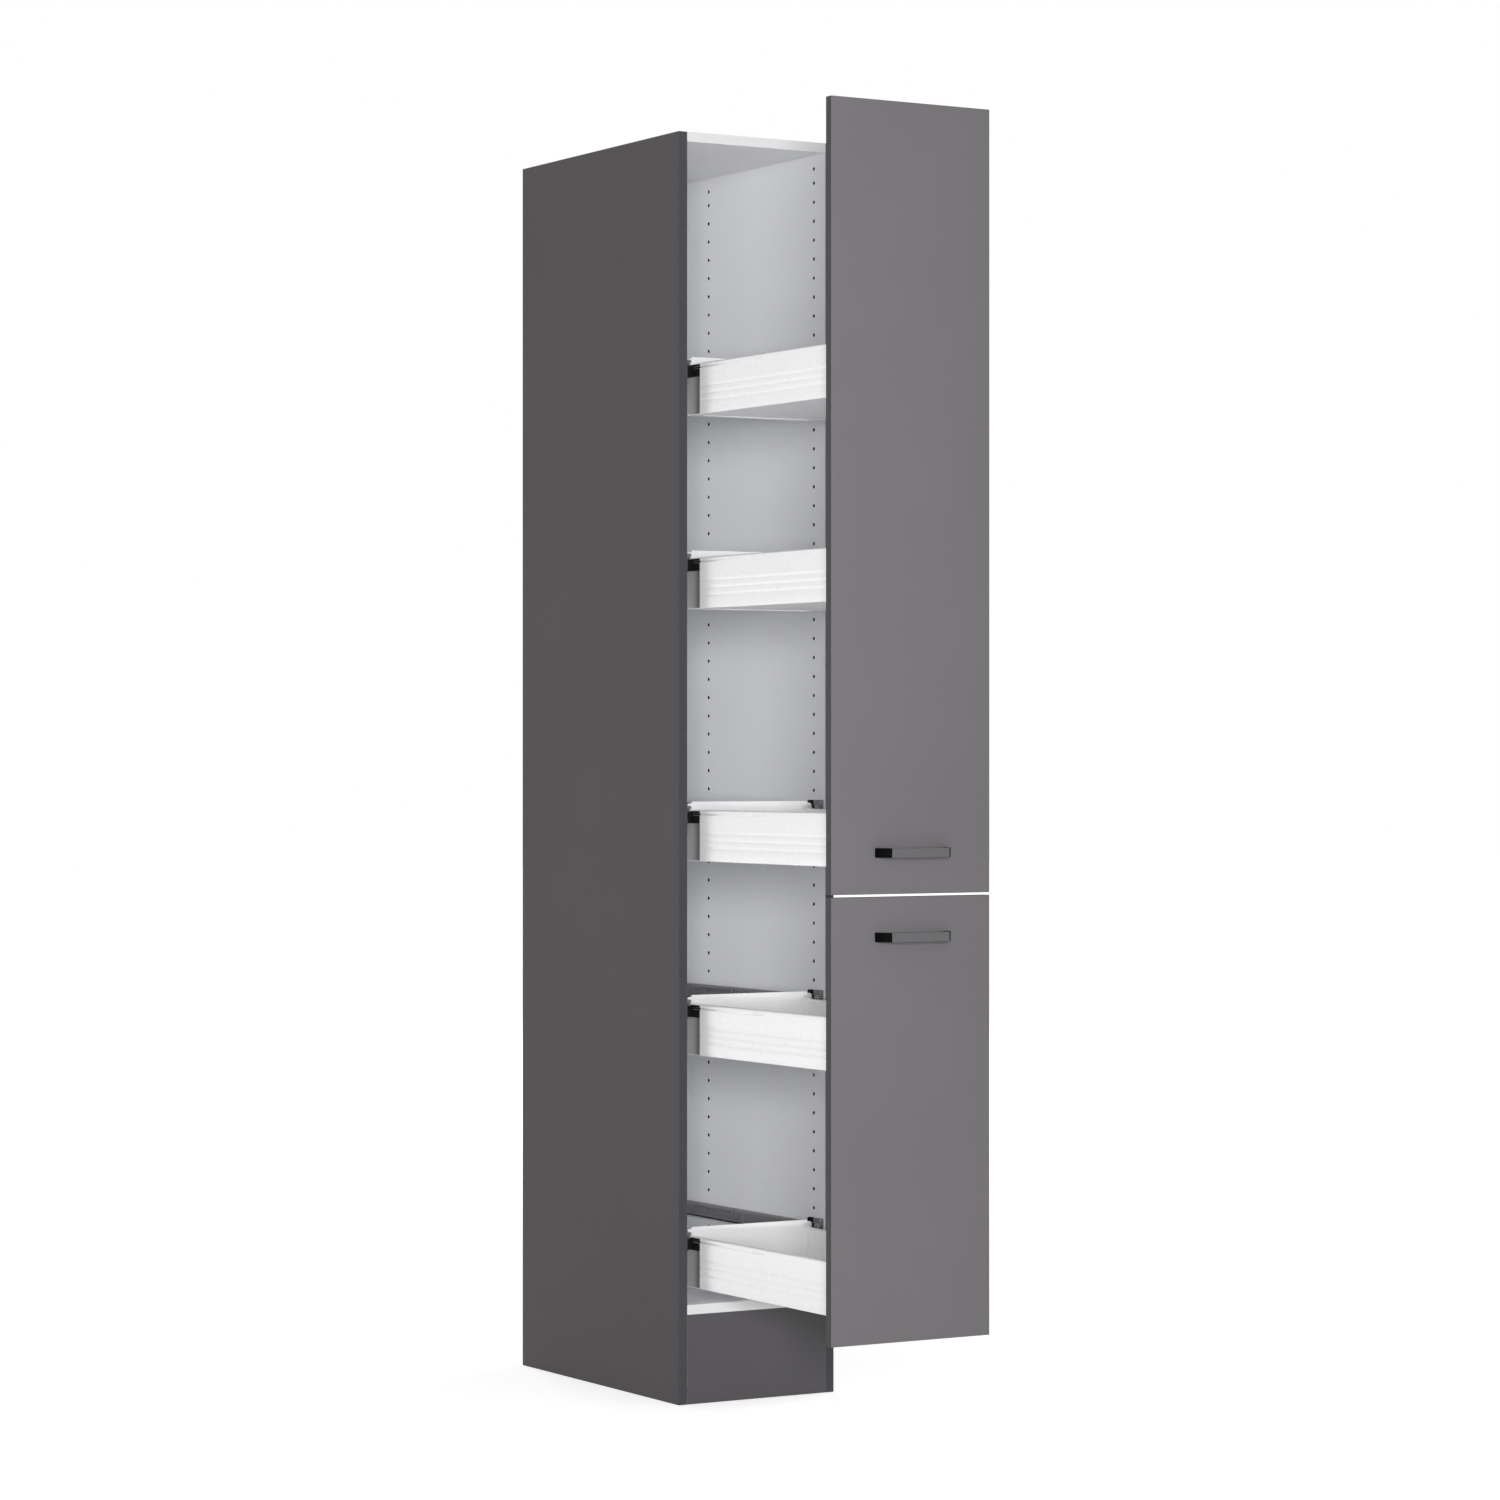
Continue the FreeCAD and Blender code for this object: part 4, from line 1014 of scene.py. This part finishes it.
for side in ("lower", "upper"):
    body = f"{side}_pullout"
    shade_plates, shadow_pads = [], []
    for tray in trays_of(body):
        level = LEVELS[tray]
        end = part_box(f"tray_{tray}_side_right")[1][1]
        # A grey plate and two black pads at the wall's rear end: painted shade, and painted
        # reflection of the side board and the rail's nose.
        sheet = block((WALL_FACE, PLATE_START, level - 82 * MM),
                      (WALL_FACE + PLATE_SHEET, end, level - 21 * MM))
        wall_shadow_pad = block((WALL_FACE, PLATE_START, level - 21 * MM),
                    (WALL_FACE + PAD_SHEET, end, level - 8 * MM))
        rim_shadow_pad = block((WALL_FACE - PAD_SHEET, PLATE_START, level - 4.3 * MM),
                        (WALL_FACE + PAD_SHEET, end, level - 0.7 * MM))
        for part in (sheet, wall_shadow_pad, rim_shadow_pad):
            soften(part, PLATE_EDGE, 2)
        shade_plates.append(both_sides(sheet))
        shadow_pads += [both_sides(wall_shadow_pad), both_sides(rim_shadow_pad)]
    piece(f"{side}_rear_shade_plates", gather(shade_plates), shade_and_reflection_plate, body, "rail_steel")
    piece(f"{side}_rear_shadow_pads", gather(shadow_pads), black_plastic, body, "black_plastic")

# %% [markdown]
# ## Run-in tongues and slot covers
# Each middle rail ends inside the tray wall in a nylon glide. A thin tongue in front of the glide
# leads it through the slot's level. It is a short strip whose front end is bevelled flat and thin,
# and it rides with the middle rail. A bright cover lies on the rail's strip behind the glide and
# nearly fills the slot, so that it shows as a fine line. Its rear end is black, painted shade like
# the pads there.

# %% Run-in tongues and slot covers
GLIDE_FRONT = -199 * MM
TONGUE = 21 * MM
COVER_START = -185 * MM
COVER_END = 22 * MM

for side in ("lower", "upper"):
    body = f"{side}_middle_rails"
    tongues, covers, painted_shade_ends = [], [], []
    for tray in trays_of(f"{side}_pullout"):
        level = LEVELS[tray]
        tongue = block((115 * MM, GLIDE_FRONT - TONGUE, level - 10 * MM),
                       (119.3 * MM, GLIDE_FRONT, level - 3 * MM))
        soften(tongue, 1 * MM, 3,
               lambda edge: all(vert.co.y < GLIDE_FRONT - MM for vert in edge.verts))
        tongues.append(both_sides(tongue))
        # The covers' rear ends are black: painted shade, like the pads at the wall's rear.
        for start, end, group in ((COVER_START, PLATE_START, covers),
                                  (PLATE_START, COVER_END, painted_shade_ends)):
            cover = block((118.4 * MM, start, level - 8.4 * MM),
                          (119.7 * MM, end, level - 3.8 * MM))
            soften(cover, 0.2 * MM, 2)
            group.append(both_sides(cover))
    piece(f"{side}_glide_tongues", gather(tongues), glide, body, "nylon")
    piece(f"{side}_strip_covers", gather(covers), tray_coat, body, "rail_steel")
    piece(f"{side}_strip_painted_shade_ends", gather(painted_shade_ends), black_plastic, body, "black_plastic")

# %% [markdown]
# ## Screws with a cross recess
# Every screw head has a cross for the driver. The top of a head is a circle with a cross-shaped
# outline in it: triangle_fill closes the ring between them, the cross is drawn down to a pocket,
# and the rim is drawn out and down to the shank. So a head needs no boolean and stays light
# enough to be repeated. The same shape, turned to each place, serves the rails, the handles, the
# wall angles and the cams.

# %% Screw shape
SCREW_SIDES = 20
HEAD_RADIUS = 4 * MM
HEAD_HEIGHT = 1.5 * MM


def drawn_on(shape, edges, rise, width=1.0):
    """Extrudes a ring of edges up or down and widens or narrows it about the Z axis."""
    made = bmesh.ops.extrude_edge_only(shape, edges=edges)["geom"]
    verts = [part for part in made if isinstance(part, bmesh.types.BMVert)]
    ring = [part for part in made if isinstance(part, bmesh.types.BMEdge)
            and all(vert in verts for vert in part.verts)]
    bmesh.ops.translate(shape, vec=(0, 0, rise), verts=verts)
    bmesh.ops.scale(shape, vec=(width, width, 1), verts=verts)
    return ring


def screw_shape(radius, height, shank, length, dome=0.72, recess=0.6):
    """A screw that points down, with the underside of its head at the origin."""
    shape = bmesh.new()
    top = radius * dome
    bmesh.ops.create_circle(shape, cap_ends=False, segments=SCREW_SIDES, radius=top)
    rim_edges = shape.edges[:]
    arm, width = 0.72 * top, 0.2 * top
    cross = []
    for turn in range(4):
        lay = Matrix.Rotation(math.radians(90 * turn), 3, "Z")
        cross += [shape.verts.new(lay @ Vector(spot)) for spot in
                  ((width, width, 0), (width, arm, 0), (-width, arm, 0))]
    cross_edges = [shape.edges.new(pair) for pair in zip(cross, cross[1:] + cross[:1])]
    bmesh.ops.triangle_fill(shape, use_beauty=True, edges=shape.edges[:])
    bmesh.ops.translate(shape, vec=(0, 0, height), verts=shape.verts)
    pocket = drawn_on(shape, cross_edges, -height * recess, 0.7)
    bmesh.ops.contextual_create(shape, geom=pocket)
    shoulder = 1 + 0.7 * (1 / dome - 1)
    edge = drawn_on(shape, rim_edges, -0.15 * height, shoulder)
    edge = drawn_on(shape, edge, -0.25 * height, 1 / dome / shoulder)
    edge = drawn_on(shape, edge, -0.6 * height)
    if length:
        edge = drawn_on(shape, edge, 0, shank / radius)
        edge = drawn_on(shape, edge, -0.85 * length)
        edge = drawn_on(shape, edge, -0.15 * length, 0.35)
    bmesh.ops.contextual_create(shape, geom=edge)
    bmesh.ops.recalc_face_normals(shape, faces=shape.faces)
    return shape


def placed(shape, place, direction):
    """A copy of a shape at a place, whose Z axis looks in a direction."""
    copy = shape.copy()
    turn = Vector(direction).to_track_quat("Z", "Y").to_matrix().to_4x4()
    bmesh.ops.transform(copy, matrix=Matrix.Translation(place) @ turn, verts=copy.verts)
    return copy


# %% Rail screws
rail_screw = screw_shape(HEAD_RADIUS, HEAD_HEIGHT, 2.45 * MM, 13 * MM)
screws = [placed(rail_screw, (side * WEB_FACE, y * MM, level), (-side, 0, 0))
          for level in LEVELS.values() for side in (-1, 1) for y in SYSTEM_ROWS]
rail_screw.free()
piece("rail_screw_set", gather(screws), dark_screw, "carcass", "screw_steel", "rail_screws")

# %% Handle screws
HANDLE_FEET = 64 * MM
BOARD_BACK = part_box("upper_front")[1][1]

handle_screw = screw_shape(HEAD_RADIUS, HEAD_HEIGHT, 1.95 * MM, 24.8 * MM)
for which in ("lower", "upper"):
    low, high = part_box(f"{which}_handle")
    middle = (low[2] + high[2]) / 2
    screws = [placed(handle_screw, (side * HANDLE_FEET, BOARD_BACK, middle), (0, 1, 0))
              for side in (-1, 1)]
    piece(f"{which}_handle_screw_pair", gather(screws), screw_metal,
          f"{which}_pullout", "screw_steel", f"{which}_handle_screws")
handle_screw.free()

# %% [markdown]
# ## Cams and the screws of the wall angles
# A cam is a zinc disc that grips its bolt when it is turned, so it has a cross as well. Four sit
# in the top board and four in the underside of the bottom board. A cam is the shape of a screw
# head again, only high and nearly flat, and without a shank. Two plain screws hold the wall angles.

# %% Cams
CAM_PLACES = [(side * 100 * MM, y * MM) for side in (-1, 1) for y in (50, 460)]
CAM_RADIUS = 7.5 * MM
CAM_DEPTH = 12.5 * MM
TOP_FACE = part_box("top_panel")[1][2]
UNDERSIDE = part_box("bottom_panel")[0][2]

cam = screw_shape(CAM_RADIUS, CAM_DEPTH, 0, 0, dome=0.94, recess=0.25)
cams = [placed(cam, (x, y, TOP_FACE - CAM_DEPTH), (0, 0, 1)) for x, y in CAM_PLACES]
cams += [placed(cam, (x, y, UNDERSIDE + CAM_DEPTH), (0, 0, -1)) for x, y in CAM_PLACES]
cam.free()
piece("cam_set", gather(cams), zinc, "carcass", "zinc_steel", "cam_discs")

# %% Screws of the wall angles
ANGLE_PLACE = 90 * MM

low, high = corners("wall_bracket_screws")
head_level = low.z + HEAD_HEIGHT
angle_screw = screw_shape(HEAD_RADIUS, HEAD_HEIGHT, 1.95 * MM, high.z - head_level)
screws = [placed(angle_screw, (side * ANGLE_PLACE, (low.y + high.y) / 2, head_level), (0, 0, -1))
          for side in (-1, 1)]
angle_screw.free()
piece("wall_angle_screws", gather(screws), screw_metal,
      "carcass", "screw_steel", "wall_bracket_screws")

# %% [markdown]
# ## Drilled rows
# The side boards have two rows of 5 mm holes, 240 in all, and rail screws fill 20 of them. Their
# solids are plain six-sided bores. A round lining covers the bore's corners and turns each open one
# into the clean round hole that a drill leaves. The lining is near black: painted shade for the
# dark inside of the hole, where the drilled chipboard itself is brown. It is a closed cup: a circle
# is drawn up to a flat rim, narrowed, and drawn down again into the bore. The shape is repeated 220
# times, so it has only a few dozen faces.

# %% Linings of the drilled rows
HOLE_RIM = 3.1 * MM
HOLE_BORE = 2.1 * MM
HOLE_DEPTH = 9.5 * MM
HOLE_FLOOR = 0.5 * MM
RIM_RISE = 0.05 * MM
RIM_TAPER = 0.98
HOLE_LEVELS = [(179 + 32 * number) * MM for number in range(59)] + [2059 * MM]


def lining_shape():
    """Points into the board along -Z, from a rim just proud of its face."""
    shape = bmesh.new()
    bmesh.ops.create_circle(shape, cap_ends=True, segments=12, radius=HOLE_RIM)
    bmesh.ops.translate(shape, vec=(0, 0, -HOLE_DEPTH), verts=shape.verts)
    edge = drawn_on(shape, shape.edges[:], HOLE_DEPTH)
    edge = drawn_on(shape, edge, RIM_RISE, RIM_TAPER)
    edge = drawn_on(shape, edge, 0, HOLE_BORE / HOLE_RIM / RIM_TAPER)
    edge = drawn_on(shape, edge, HOLE_FLOOR - HOLE_DEPTH)
    bmesh.ops.contextual_create(shape, geom=edge)
    bmesh.ops.recalc_face_normals(shape, faces=shape.faces)
    return shape


lining = lining_shape()
taken = {round(level, 4) for level in LEVELS.values()}
free_levels = [level for level in HOLE_LEVELS if round(level, 4) not in taken]
linings = [placed(lining, (side * BOARD_FACE, y * MM, level), (-side, 0, 0))
           for side in (-1, 1) for y in SYSTEM_ROWS for level in free_levels]
lining.free()
print(len(linings), "holes lined")
piece("drilled_rows", gather(linings), painted_hole_shade, "carcass", "carcass_board")

# %% [markdown]
# ## Bumpers
# Clear soft drops on the backs of the fronts keep them from knocking on the side boards. A drop
# is a ball cut just under its middle, closed with a flat face and pressed low.

# %% Bumpers
DROP_RADIUS = 4 * MM
DROP_HEIGHT = 1.5 * MM
DROP_PLACE = 142 * MM

for which in ("lower", "upper"):
    low, high = corners(f"{which}_bumpers")
    drops = []
    for z in sorted({low.z + DROP_RADIUS, high.z - DROP_RADIUS}):
        drop = bmesh.new()
        bmesh.ops.create_uvsphere(drop, u_segments=20, v_segments=12, radius=DROP_RADIUS)
        lower_half = [vert for vert in drop.verts if vert.co.z < -0.1 * MM]
        bmesh.ops.delete(drop, geom=lower_half, context="VERTS")
        bmesh.ops.holes_fill(drop, edges=[edge for edge in drop.edges if edge.is_boundary])
        bmesh.ops.scale(drop, vec=(1, 1, DROP_HEIGHT / DROP_RADIUS), verts=drop.verts)
        drops += [placed(drop, (side * DROP_PLACE, low.y, z), (0, 1, 0)) for side in (-1, 1)]
        drop.free()
    piece(f"{which}_drops", gather(drops), rubber,
          f"{which}_pullout", "soft_rubber", f"{which}_bumpers")
